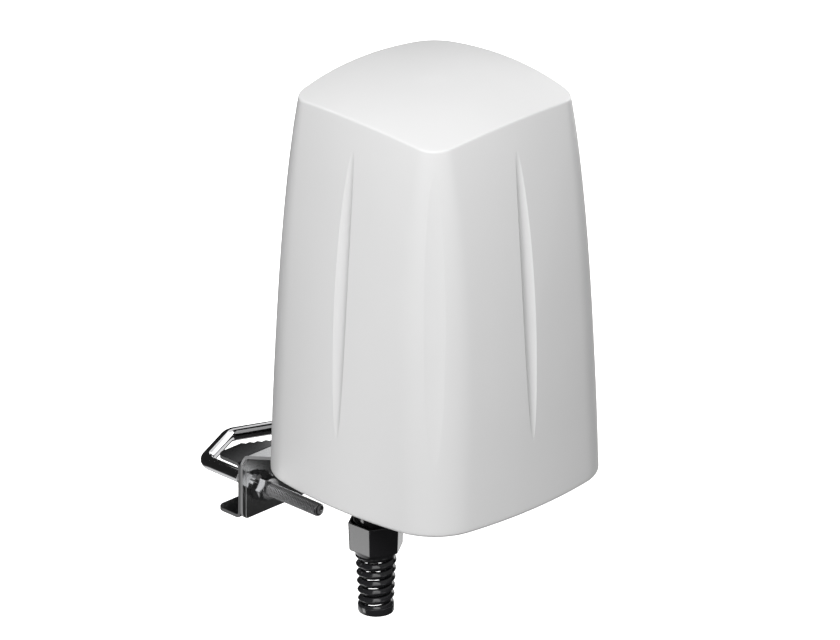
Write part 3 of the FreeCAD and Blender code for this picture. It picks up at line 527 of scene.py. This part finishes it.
def dome_rows(edge, inset, count):
    """Rings from the crease to the middle of the dome."""
    rows = []
    radius = DOME - inset
    for k in range(count):
        plan = edge[:, :2] * (1 - k / count)
        rise = np.sqrt(radius ** 2 - (plan ** 2).sum(1)) + DOME_MIDDLE
        rows.append(ring(plan, rise))
    return rows


def shell_half(table, start, inset, round_by, count):
    """The wall, crease and dome of the outer or the inner skin."""
    top = crease_heights(inset)
    rows = wall_rows(table, start, top - round_by, count, inset)
    plan = level(PLAIN, top)
    plan = plan + inward(plan) * inset if inset else plan
    corner = ring(plan, top)
    shrunk = plan * (1 - round_by / np.linalg.norm(plan, axis=1))[:, None]
    rise = np.sqrt((DOME - inset) ** 2 - (shrunk ** 2).sum(1)) + DOME_MIDDLE
    inside = ring(shrunk, rise)
    rows += crease_rows(rows[-1], corner, inside)
    return rows + dome_rows(inside, inset, 26)


def rim_rows():
    """The rounded bottom rim, the skirt and the ledge inside it, from the inside out."""
    base = GROOVED[2]
    inner = inward(base)
    profile = [(WALL, LEDGE_TOP), (LEDGE_WIDTH, LEDGE_TOP), (LEDGE_WIDTH, LEDGE_FOOT)]
    profile += [(WALL, LEDGE_FOOT), (WALL, 0.3), (WALL - 0.3, 0.0)]
    for k in range(7):
        angle = math.radians(90 * k / 6)
        profile.append((RIM_ROUND * (1 - math.sin(angle)), RIM_ROUND * (1 - math.cos(angle))))
    rows = []
    for inset, z in profile:
        rows.append(ring(base + inner * inset, z))
    return rows


def make_cover():
    """Builds the cover's skin as one mesh: inner dome, ledge, rim, outer wall, outer dome."""
    outer = shell_half(GROOVED, RIM_ROUND, inset=0.0, round_by=1.17, count=120)
    inner = shell_half(PLAIN, LEDGE_TOP, inset=WALL, round_by=0.8, count=30)
    rings = inner[::-1] + rim_rows()[1:] + outer[1:]
    points = np.vstack(rings)
    faces = strip_faces(len(rings), COLUMNS)
    count = len(points)
    tips = [(0, 0, DOME_TOP - WALL), (0, 0, DOME_TOP)]
    points = np.vstack([points, tips])
    last = count - COLUMNS
    for j in range(COLUMNS):
        k = (j + 1) % COLUMNS
        faces.append((count, k, j))
        faces.append((last + j, last + k, count + 1))
    placed = [at(*p) for p in points]
    cover = piece("cover_skin", placed, faces, cover_white, "cover", 50.0)
    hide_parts("radome_cover")


make_cover()


# ---------------------------------------------------------------- turned forms

def lathe(name, profile, mat, body, x, y, count, crease=35.0):
    """A form turned about an upright axis at x, y. The profile is (radius, z) in mm."""
    points = []
    for radius, z in profile:
        for j in range(count):
            a = 2 * math.pi * j / count
            points.append(at(x + radius * math.cos(a), y + radius * math.sin(a), z))
    faces = strip_faces(len(profile), count)
    return piece(name, points, faces, mat, body, crease)


BOSS_OUT = 57.6


def make_cover_bosses():
    """The screw bosses inside the cover's corners, with their webs."""
    for k, (x, y) in enumerate(((1, 1), (-1, 1), (-1, -1), (1, -1))):
        px, py = BOSS_OUT * x, BOSS_OUT * y
        profile = [(2.8, 20.0), (2.8, 8.0), (5.2, 8.0), (5.5, 8.3), (5.5, 23.6), (5.1, 24.0), (0.01, 24.0)]
        lathe("cover_boss_%d" % k, profile, cover_white, "cover", px, py, 48)
        out = Vector((x, y, 0)).normalized()
        side = Vector((-out.y, out.x, 0)) * 1.5
        start = Vector((px, py, 0)) + out * 4.5
        end = start + out * 6.5
        corners = []
        for z in (8.2, 24.0):
            for spot in (start - side, end - side, end + side, start + side):
                corners.append(at(spot.x, spot.y, z))
        faces = [(0, 1, 2, 3), (7, 6, 5, 4), (0, 4, 5, 1), (1, 5, 6, 2), (2, 6, 7, 3), (3, 7, 4, 0)]
        piece("cover_web_%d" % k, corners, faces, cover_white, "cover")


make_cover_bosses()


# ---------------------------------------------------------------------- U-bolt
# CREST and FLANK are shares of one pitch of the thread.

STUD_X = 35.0
STUD_Z = -34.5
STUD_TIP_Y = 57.9
BOW_Y = 152.4
BOW_POINT_Y = 167.9
BOW_BEND = 9.0
BEND_STEPS = 17
ROD = 4.0
ROD_COLUMNS = 40
SKIN_GAP = 0.02
THREAD_PITCH = 1.25
THREAD_STEP = THREAD_PITCH / 10
THREAD_LENGTH = 65.0
THREAD_DEPTH = 0.66
CREST = 0.16
FLANK = 0.30


def bend(points, radius, step):
    """Samples straight runs joined by round bends, as (point, heading, distance)."""
    samples = []
    here = Vector(points[0])
    travelled = 0.0
    for k in range(1, len(points)):
        corner = Vector(points[k])
        before = (corner - Vector(points[k - 1])).normalized()
        if k == len(points) - 1:
            stop, half = corner, 0.0
        else:
            after = (Vector(points[k + 1]) - corner).normalized()
            half = before.angle(after) / 2
            stop = corner - before * (radius * math.tan(half))
        length = (stop - here).length
        count = max(2, int(length / step))
        for i in range(count):
            samples.append((here.lerp(stop, i / count), before, travelled + length * i / count))
        travelled += length
        here = stop
        if half:
            middle = corner + (after - before).normalized() * (radius / math.cos(half))
            arc = 2 * half * radius
            axis = before.cross(after).normalized()
            arm = stop - middle
            for i in range(1, BEND_STEPS):
                turn = Quaternion(axis, 2 * half * i / BEND_STEPS)
                samples.append((middle + turn @ arm, turn @ before, travelled + arc * i / BEND_STEPS))
            travelled += arc
            here = corner + after * (radius * math.tan(half))
    samples.append((here, before, travelled))
    return samples


def thread_profile(turn):
    """Depth of the thread below the rod's surface, from 0 to 1, over one pitch."""
    t = turn % 1.0
    if t < CREST:
        return 0.0
    if t < CREST + FLANK:
        return (t - CREST) / FLANK
    if t < 1.0 - FLANK:
        return 1.0
    return (1.0 - t) / FLANK


def u_bolt_samples():
    """Points along the U-bolt from tip to tip, close together on the threads."""
    path = [(-STUD_X, STUD_TIP_Y, STUD_Z), (-STUD_X, BOW_Y, STUD_Z), (0, BOW_POINT_Y, STUD_Z)]
    path += [(STUD_X, BOW_Y, STUD_Z), (STUD_X, STUD_TIP_Y, STUD_Z)]
    coarse = bend(path, BOW_BEND, 1.2)
    total = coarse[-1][2]
    samples = []
    for k in range(int(THREAD_LENGTH / THREAD_STEP)):
        along = k * THREAD_STEP
        samples.append((Vector((-STUD_X, STUD_TIP_Y + along, STUD_Z)), Vector((0, 1, 0)), along))
    samples += [s for s in coarse if THREAD_LENGTH <= s[2] <= total - THREAD_LENGTH]
    for k in range(int(THREAD_LENGTH / THREAD_STEP), -1, -1):
        along = k * THREAD_STEP
        samples.append((Vector((STUD_X, STUD_TIP_Y + along, STUD_Z)), Vector((0, -1, 0)), total - along))
    return samples


def make_u_bolt():
    """The U-bolt with its rolled threads."""
    samples = u_bolt_samples()
    total = samples[-1][2]
    count = ROD_COLUMNS
    points = []
    valleys = []
    for spot, heading, distance in samples:
        side = heading.cross(Vector((0, 0, 1)))
        near = min(distance, total - distance)
        sign = 1.0 if distance < total / 2 else -1.0
        fade = min(max((THREAD_LENGTH - near) / 2.0, 0.0), 1.0)
        tip = max(0.0, 1.0 - near)
        for j in range(count):
            a = 2 * math.pi * j / count
            deep = THREAD_DEPTH * fade * thread_profile(near / THREAD_PITCH + sign * j / count)
            radius = ROD - SKIN_GAP - max(deep, tip * 0.95)
            valleys.append(deep / THREAD_DEPTH)
            offset = side * (math.cos(a) * radius) + Vector((0, 0, math.sin(a) * radius))
            points.append(spot + offset)
    faces = strip_faces(len(samples), count, flip=True)
    first = len(points)
    points.append(samples[0][0])
    points.append(samples[-1][0])
    end = first - count
    for j in range(count):
        k = (j + 1) % count
        faces.append((first, j, k))
        faces.append((first + 1, end + k, end + j))
    placed = [at(*p) for p in points]
    bolt = piece("u_bolt_rod", placed, faces, u_bolt_steel, "u_bolt", 50.0)
    shade = bolt.data.attributes.new("valley", "FLOAT", "POINT")
    shade.data.foreach_set("value", valleys + [0.0, 0.0])
    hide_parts("u_bolt")


make_u_bolt()


# ------------------------------------------------------------------- gland cap

GLAND_X = -50.0
GLAND_Y = -2.6
CAP_TURN = 3.4
CAP_COLUMNS = 240
CAP_BORE = 7.0
COIL_LOW = -69.0
COIL_TOP = -33.2
COIL_PITCH = 5.45
COIL_STEPS = 72
COIL_START = 176.0
COIL_RADIUS = 8.65
COIL_FLARE = 1.8 / 32.4
RING_TOP = -67.35


def turned_ring(radius_at, z):
    """A ring about the gland's axis whose radius depends on the angle."""
    spots = []
    for j in range(CAP_COLUMNS):
        a = 2 * math.pi * j / CAP_COLUMNS
        radius = radius_at(a)
        b = a + math.radians(CAP_TURN)
        spots.append(at(GLAND_X + radius * math.cos(b), GLAND_Y + radius * math.sin(b), z))
    return spots


def hexagon_at(flats, corner):
    """Gives the distance from the axis to a hexagon's side, with its corners cut a little."""
    def radius_at(angle):
        folded = (angle + math.pi / 6) % (math.pi / 3) - math.pi / 6
        return min(flats / 2 / math.cos(folded), corner)
    return radius_at


def make_cap_grip():
    """The cap's hexagon, its cone and the bore through it. The hexagon's levels are
    height, size across flats and corner radius, and the round ones radius and height."""
    hexes = [
        (-14.4, 27.6, 15.2), (-14.4, 29.0, 16.2), (-14.65, 29.3, 16.6), (-15.1, 29.3, 16.75),
        (-23.0, 28.8, 16.47), (-31.2, 28.2, 16.12), (-31.7, 28.1, 15.9), (-31.9, 27.8, 15.5),
        (-31.9, 26.9, 14.6),
    ]
    rows = [turned_ring(hexagon_at(flats, corner), z) for z, flats, corner in hexes]
    rounds = [(13.7, -31.95), (13.3, -32.2), (12.3, -34.7), (12.0, -34.9), (11.2, -35.2)]
    rounds += [(CAP_BORE, -35.2), (CAP_BORE, -31.5), (12.0, -31.5)]
    rounds += [(12.0, -14.9), (12.5, -14.4), (13.2, -14.4)]
    for radius, z in rounds:
        rows.append(turned_ring(lambda angle: radius, z))
    points = [p for row in rows for p in row]
    faces = strip_faces(len(rows), CAP_COLUMNS, flip=True)
    return piece("gland_cap_grip", points, faces, gland_black, "gland_cap", 32.0)


def coil_section():
    """The coil's section as (outwards, up): a thick band with a rounded ridge outside."""
    half = [(-1.53, -2.10), (0.0, -2.10), (0.22, -1.95), (0.80, -1.12), (1.36, -0.38), (1.53, -0.12)]
    return half + [(x, -z) for x, z in reversed(half)]


def make_cap_coil():
    """The open coil that keeps the cable from bending sharply."""
    section = coil_section()
    height = COIL_TOP - COIL_LOW
    steps = int(height / COIL_PITCH * COIL_STEPS)
    points = []
    for i in range(steps + 1):
        rise = height * i / steps
        a = math.radians(CAP_TURN + COIL_START) + 2 * math.pi * rise / COIL_PITCH
        for px, pz in section:
            radius = COIL_RADIUS + rise * COIL_FLARE + px
            x = GLAND_X + radius * math.cos(a)
            y = GLAND_Y + radius * math.sin(a)
            points.append(at(x, y, COIL_LOW + rise + pz))
    count = len(section)
    faces = strip_faces(steps + 1, count)
    faces.append(tuple(range(count)))
    faces.append(tuple(steps * count + j for j in reversed(range(count))))
    piece("gland_cap_coil", points, faces, gland_black, "gland_cap", 40.0)


def make_cap_end():
    """The ring at the end of the coil."""
    inside = [(CAP_BORE, RING_TOP), (CAP_BORE, -71.6), (7.4, -72.1), (8.0, -72.25), (9.6, -72.25)]
    outside = [(10.2, -71.95), (10.5, -71.3), (10.55, -68.0), (10.5, -67.6), (10.2, RING_TOP)]
    profile = inside + outside + inside[:1]
    lathe("gland_cap_end", profile, gland_black, "gland_cap", GLAND_X, GLAND_Y, 96, 50.0)


grip = make_cap_grip()
make_cap_coil()
make_cap_end()
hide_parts("gland_cap")


# ------------------------------------------------- soft edges on the CAD pieces

def soften(names, width):
    """Merges the flat faces of CAD pieces and rounds their edges by a width in mm."""
    for name in names:
        obj = frame["nodes"][name]
        flat = obj.modifiers.new("flat", "DECIMATE")
        flat.decimate_type = "DISSOLVE"
        flat.angle_limit = math.radians(1.0)
        edge = obj.modifiers.new("edge", "BEVEL")
        edge.width = width * MM
        edge.segments = 2
        edge.limit_method = "ANGLE"
        edge.angle_limit = math.radians(30.0)
        edge.harden_normals = False
        edge.use_clamp_overlap = True


soften(["mast_bracket", "saddle_channel"], 0.25)
soften(["clamp_nut_left", "clamp_nut_right", "bracket_screws", "gland_locknut"], 0.2)
soften(["base_plate", "gland_body", "top_bridge", "shield_can"], 0.3)
soften(["chassis_plate", "chassis_posts", "board_angles", "data_socket", "bracket_washers"], 0.15)
soften(["radio_board", "gnss_board", "lte_radiator_front", "lte_radiator_rear"], 0.15)
soften(["wifi_radiator_left", "wifi_radiator_right"], 0.15)


# ------------------------------------------------------ detail under the cover

RADIO_TOP = 37.6
PLUGS = ((12.0, -27.0), (12.0, 27.0), (-14.0, 28.0), (30.0, -27.0), (40.0, 27.0))
BOARD_SCREWS = ((-15.0, 36.5), (-15.0, -36.5), (41.0, 36.5), (41.0, -36.5))
SHIELD_CAN = (25.0, 0.0, 36.0, 42.0)
DATA_SOCKET = (-9.0, -2.6, 25.0, 20.0)
BOARD_X = (-18.0, 44.0)
BOARD_Y = (-37.5, 37.5)
SMALL_PARTS = 170
CHIP_GAP = 1.6
PLUG_GAP = 4.2
COPPER = 0.05
BARS = 9
BAR_PITCH = 12.5
BAR_HEIGHT = 7
TALL_FACE = 52.8
WIFI_FACE = 54.8


def around(middle, width):
    """A pair of values at equal distances from a middle."""
    return middle - width / 2, middle + width / 2


class Blocks:
    """Collects small blocks with cut corners into one piece."""

    def __init__(self):
        self.points = []
        self.faces = []

    def add(self, x, y, z, turn=None):
        """A block between pairs of values in mm; turn maps a corner to its final place."""
        first = len(self.points)
        for height in z:
            for px, py in ((x[0], y[0]), (x[1], y[0]), (x[1], y[1]), (x[0], y[1])):
                spot = turn(px, py, height) if turn else (px, py, height)
                self.points.append(at(*spot))
        for quad in ((3, 2, 1, 0), (4, 5, 6, 7), (0, 1, 5, 4), (1, 2, 6, 5), (2, 3, 7, 6), (3, 0, 4, 7)):
            self.faces.append(tuple(first + k for k in quad))

    def finish(self, name, mat, width):
        """Makes the piece and rounds its edges."""
        obj = piece(name, self.points, self.faces, mat, "base", 30.0)
        edge = obj.modifiers.new("edge", "BEVEL")
        edge.width = width * MM
        edge.segments = 2
        return obj


# Each chip's middle, width and depth on the radio board.
CHIPS = [(-4.0, -24.0, 9.0, 9.0), (1.0, 15.0, 8.0, 8.0), (26.0, 30.0, 9.0, 6.0), (-3.0, 33.0, 7.0, 5.0)]
CHIPS += [(21.0, -34.0, 10.0, 6.0), (-14.0, 14.0, 5.0, 4.0)]


def clear_of(x, y):
    """Whether a small part at x, y keeps clear of the larger ones on the radio board."""
    for cx, cy, width, depth in CHIPS + [SHIELD_CAN, DATA_SOCKET]:
        if abs(x - cx) < width / 2 + CHIP_GAP and abs(y - cy) < depth / 2 + CHIP_GAP:
            return False
    for px, py in PLUGS + BOARD_SCREWS:
        if math.hypot(x - px, y - py) < PLUG_GAP:
            return False
    return True


def make_radio_parts():
    """Chips, small parts and their tinned ends on the radio board."""
    chips = Blocks()
    legs = Blocks()
    for x, y, width, depth in CHIPS:
        chips.add(around(x, width), around(y, depth), (RADIO_TOP, RADIO_TOP + 1.1))
        count = int(width / 1.2)
        for k in range(count):
            px = x - width / 2 + (k + 0.5) * width / count
            legs.add(around(px, 0.4), around(y, depth + 1.8), (RADIO_TOP, RADIO_TOP + 0.25))
    bodies = Blocks()
    chance = random.Random(5)
    for _ in range(SMALL_PARTS):
        x = BOARD_X[0] + (BOARD_X[1] - BOARD_X[0]) * chance.random()
        y = BOARD_Y[0] + (BOARD_Y[1] - BOARD_Y[0]) * chance.random()
        wide, deep = (1.6, 0.8) if chance.random() < 0.5 else (0.8, 1.6)
        if not clear_of(x, y):
            continue
        bodies.add(around(x, wide * 0.64), around(y, deep * 0.64), (RADIO_TOP, RADIO_TOP + 0.6))
        legs.add(around(x, wide), around(y, deep), (RADIO_TOP, RADIO_TOP + 0.45))
    chips.finish("radio_chips", lead_jacket, 0.12)
    legs.finish("radio_leads", can_tin, 0.05)
    bodies.finish("radio_small_parts", ceramic, 0.08)


def tall_pattern(blocks, turn):
    """A printed pattern on a tall board's outer face: a base strip and a meander."""
    skin = (TALL_FACE, TALL_FACE + COPPER)
    blocks.add((-36, 36), skin, (47, 58), turn)
    blocks.add((-2, 2), skin, (58, 66), turn)
    for k in range(BARS):
        low = 66 + BAR_PITCH * k
        reach = 20 + 14 * min(k / 4, 1.0)
        blocks.add((-reach, reach), skin, (low, low + BAR_HEIGHT), turn)
        if k < BARS - 1:
            side = -1 if k % 2 else 1
            edges = sorted((side * (reach - 5), side * reach))
            blocks.add(edges, skin, (low + BAR_HEIGHT, low + BAR_PITCH), turn)


def wifi_pattern(blocks, turn):
    """A printed pattern on a short board's outer face: a base, a neck and two arms."""
    skin = (WIFI_FACE, WIFI_FACE + COPPER)
    blocks.add((17, 43), skin, (49, 58), turn)
    blocks.add((29, 31), skin, (58, 66), turn)
    blocks.add((17, 43), skin, (66, 72), turn)
    blocks.add((18, 27), skin, (76, 92), turn)
    blocks.add((33, 42), skin, (76, 92), turn)
    blocks.add((22, 23), skin, (72, 76), turn)
    blocks.add((37, 38), skin, (72, 76), turn)


def make_radiator_copper():
    """Gold-plated patterns on the upright boards."""
    copper = Blocks()
    for way in (1, -1):
        tall_pattern(copper, lambda x, y, z: (way * x, way * y, z))
    for way in (1, -1):
        wifi_pattern(copper, lambda x, y, z: (way * y, -way * x, z))
    copper.finish("radiator_copper", plug_gold, 0.01)


def make_socket_contacts():
    """The eight sprung contacts in the data socket's mouth."""
    contacts = Blocks()
    pitch = 1.02
    for k in range(8):
        y = GLAND_Y + (k - 3.5) * pitch
        contacts.add((-18.5, -8.2), around(y, 0.4), (47.6, 47.9))
    contacts.finish("socket_contacts", plug_gold, 0.05)


def make_patch_top():
    """The silvered square on the satellite aerial."""
    top = Blocks()
    top.add(around(0.0, 21.0), around(0.0, 21.0), (198.6, 198.66))
    top.finish("patch_silver", can_tin, 0.02)


make_radio_parts()
make_radiator_copper()
make_socket_contacts()
make_patch_top()


# --------------------------------------------------------- floor, light, camera

# Directions, half widths, half heights and strengths of the panels that polished
# surfaces reflect, with the faint light between them.
PANELS = [
    ((-0.73, 0.44, -0.52), 0.13, 0.28, 3.7),
    ((0.95, 0.20, -0.10), 0.20, 0.70, 1.0),
    ((0.95, 0.20, 0.12), 0.30, 0.20, 3.5),
    ((0.76, 0.355, 0.545), 0.22, 0.12, 1.2),
    ((-0.10, 0.60, 0.78), 0.16, 0.22, 2.6),
    ((-0.55, -0.45, 0.85), 0.35, 0.35, 3.0),
    ((-0.86, -0.28, 0.00), 0.16, 0.40, 0.5),
    ((-0.12, -0.95, 0.15), 0.20, 0.20, 1.2),
    ((0.85, -0.20, 0.42), 0.25, 0.18, 4.0),
    ((-0.10, 0.50, -0.86), 0.42, 0.34, 0.9),
]
AMBIENT = 0.022
STAGE_MIDDLE = at(0, 30, 90)
REFLECTIONS_RADIUS = 0.6
AMBIENCE_RADIUS = 0.7
AMBIENCE_STRENGTH = 0.32
FLOOR_SIZE = 60.0
FLOOR_DROP = 0.75
LIGHT_SIZE = (1.8, 1.8)
LIGHT_DISTANCE = 3.0
KEY_DIRECTION = Vector((-0.52, -0.40, 0.80))
KEY_POWER = 97.0
FILL_DIRECTION = Vector((0.70, 0.70, 0.08))
FILL_POWER = 42.0


def glowing(name):
    """A white light-giving material, and the socket of its strength."""
    mat = bpy.data.materials.new(name)
    mat.use_nodes = True
    tree = mat.node_tree
    tree.nodes.clear()
    glow = node(tree, "ShaderNodeEmission")
    out = node(tree, "ShaderNodeOutputMaterial")
    tree.links.new(glow.outputs["Emission"], out.inputs["Surface"])
    return mat, glow.inputs["Strength"]


def stage_sheet(name, corners, mat):
    """A flat four-cornered stage item."""
    mesh = bpy.data.meshes.new(name)
    mesh.from_pydata(corners, [], [(0, 1, 2, 3)])
    mesh.materials.append(mat)
    sheet = bpy.data.objects.new(name, mesh)
    bpy.context.scene.collection.objects.link(sheet)
    return sheet


def stage_ball(name, mat, radius, segments):
    """A sphere round the whole part, which is a stage item."""
    rings = segments // 2
    bpy.ops.mesh.primitive_uv_sphere_add(
        segments=segments, ring_count=rings, radius=radius, location=STAGE_MIDDLE
    )
    ball = bpy.context.object
    ball.name = name
    ball.data.materials.append(mat)
    return ball


def hide_from(obj, *rays):
    """Keeps a stage item out of some kinds of ray, and from casting shadows."""
    for kind in rays + ("camera", "shadow", "transmission"):
        setattr(obj, "visible_" + kind, False)


def make_floor():
    """A pale floor well below the part, which hangs from its mast."""
    mat, _, bsdf = shader("studio_floor")
    bsdf.inputs["Base Color"].default_value = (0.9, 0.9, 0.9, 1.0)
    bsdf.inputs["Roughness"].default_value = 0.9
    bsdf.inputs["Emission Color"].default_value = (1.0, 1.0, 1.0, 1.0)
    bsdf.inputs["Emission Strength"].default_value = 1.0
    reach = FLOOR_SIZE / 2
    z = cad_low.z - FLOOR_DROP
    corners = [(-reach, -reach, z), (reach, -reach, z), (reach, reach, z), (-reach, reach, z)]
    floor = stage_sheet("floor", corners, mat)
    floor.visible_diffuse = False


def make_world():
    """A white background, which only the camera sees."""
    world = bpy.data.worlds.new("studio")
    world.use_nodes = True
    back = world.node_tree.nodes["Background"]
    back.inputs["Color"].default_value = (1.0, 1.0, 1.0, 1.0)
    back.inputs["Strength"].default_value = 1.0
    world.cycles_visibility.glossy = False
    world.cycles_visibility.diffuse = False
    bpy.context.scene.world = world


def make_ambience():
    """Even white light from all round, which polished reflections don't show."""
    mat, strength = glowing("ambience_white")
    strength.default_value = AMBIENCE_STRENGTH
    ball = stage_ball("ambience", mat, AMBIENCE_RADIUS, 32)
    hide_from(ball, "glossy")


def area(name, direction, power):
    """A soft square light that looks at the stage's middle from a direction."""
    data = bpy.data.lights.new(name, "AREA")
    data.shape = "RECTANGLE"
    data.size, data.size_y = LIGHT_SIZE
    data.energy = power
    light = bpy.data.objects.new(name, data)
    light.location = STAGE_MIDDLE + direction * LIGHT_DISTANCE
    light.rotation_mode = "QUATERNION"
    light.rotation_quaternion = (STAGE_MIDDLE - light.location).to_track_quat("-Z", "Y")
    light.visible_glossy = False
    bpy.context.scene.collection.objects.link(light)


def make_reflections():
    """A dark sphere with bright panels, which only reflections show."""
    mat, strength = glowing("studio_reflections")
    tree = mat.node_tree
    place = node(tree, "ShaderNodeTexCoord").outputs["Object"]
    unit = node(tree, "ShaderNodeVectorMath", operation="NORMALIZE")
    tree.links.new(place, unit.inputs[0])
    total = None
    for direction, width, height, power in PANELS:
        value = panel(tree, unit.outputs[0], Vector(direction).normalized(), width, height)
        value = combine(tree, "MULTIPLY", value, power)
        total = value if total is None else combine(tree, "ADD", total, value)
    tree.links.new(combine(tree, "ADD", total, AMBIENT), strength)
    ball = stage_ball("reflections", mat, REFLECTIONS_RADIUS, 48)
    hide_from(ball, "diffuse")


def panel(tree, unit, direction, width, height):
    """1 on an upright panel of the sphere, about a direction, fading to 0 at its edges."""
    side = Vector((-direction.y, direction.x, 0)).normalized()
    rise = direction.cross(side)
    across = unsigned(tree, dot_product(tree, unit, side))
    up = unsigned(tree, dot_product(tree, unit, rise))
    inside = remap(tree, across, 1.0, 0.0, width * 0.85, width * 1.15)
    level = remap(tree, up, 1.0, 0.0, height * 0.85, height * 1.15)
    ahead = combine(tree, "GREATER_THAN", dot_product(tree, unit, direction), 0.0)
    return combine(tree, "MULTIPLY", combine(tree, "MULTIPLY", inside, level), ahead)


def card(name, place, towards, width, height, power):
    """A small bright card that only polished surfaces reflect."""
    turn = (towards - place).to_track_quat("Z", "Y")
    corners = []
    for x, y in ((-1, -1), (1, -1), (1, 1), (-1, 1)):
        corners.append(place + turn @ Vector((x * width / 2, y * height / 2, 0.0)))
    mat, strength = glowing(name)
    strength.default_value = power
    hide_from(stage_sheet(name, corners, mat), "diffuse")


make_world()
make_floor()
make_ambience()
make_reflections()
card("nut_card", at(-86.6, 68, -8.7), at(-45.6, 106.3, -29.7), 0.018, 0.018, 2.4)
card("tongue_card", at(66, 192, 51), at(66, 192, 0), 0.090, 0.050, 1.0)
card("bolt_card", at(116, 198, 48), at(-15, 160, -34), 0.085, 0.070, 1.7)
card("leg_card", at(47, 10, -87), at(-45, 106, -24), 0.008, 0.010, 1.7)
area("key", KEY_DIRECTION, KEY_POWER)
area("fill", FILL_DIRECTION, FILL_POWER)


CAMERA_FALL = 0.42
CAMERA_DISTANCE = 13.333
CAMERA_AIM = at(-5.92, 5.92, 93.5)


def make_camera():
    """A long lens at the product's three-quarter view from the front left, above."""
    data = bpy.data.cameras.new("camera")
    data.sensor_width = 36.0
    data.lens = 1000.0
    data.clip_start, data.clip_end = 1.0, 60.0
    camera = bpy.data.objects.new("camera", data)
    flat = math.cos(math.asin(CAMERA_FALL)) / ROOT_TWO
    heading = Vector((flat, flat, -CAMERA_FALL))
    camera.location = CAMERA_AIM - heading * CAMERA_DISTANCE
    camera.rotation_mode = "QUATERNION"
    camera.rotation_quaternion = heading.to_track_quat("-Z", "Y")
    bpy.context.scene.collection.objects.link(camera)
    bpy.context.scene.camera = camera


make_camera()
bpy.context.scene.view_settings.view_transform = "Standard"
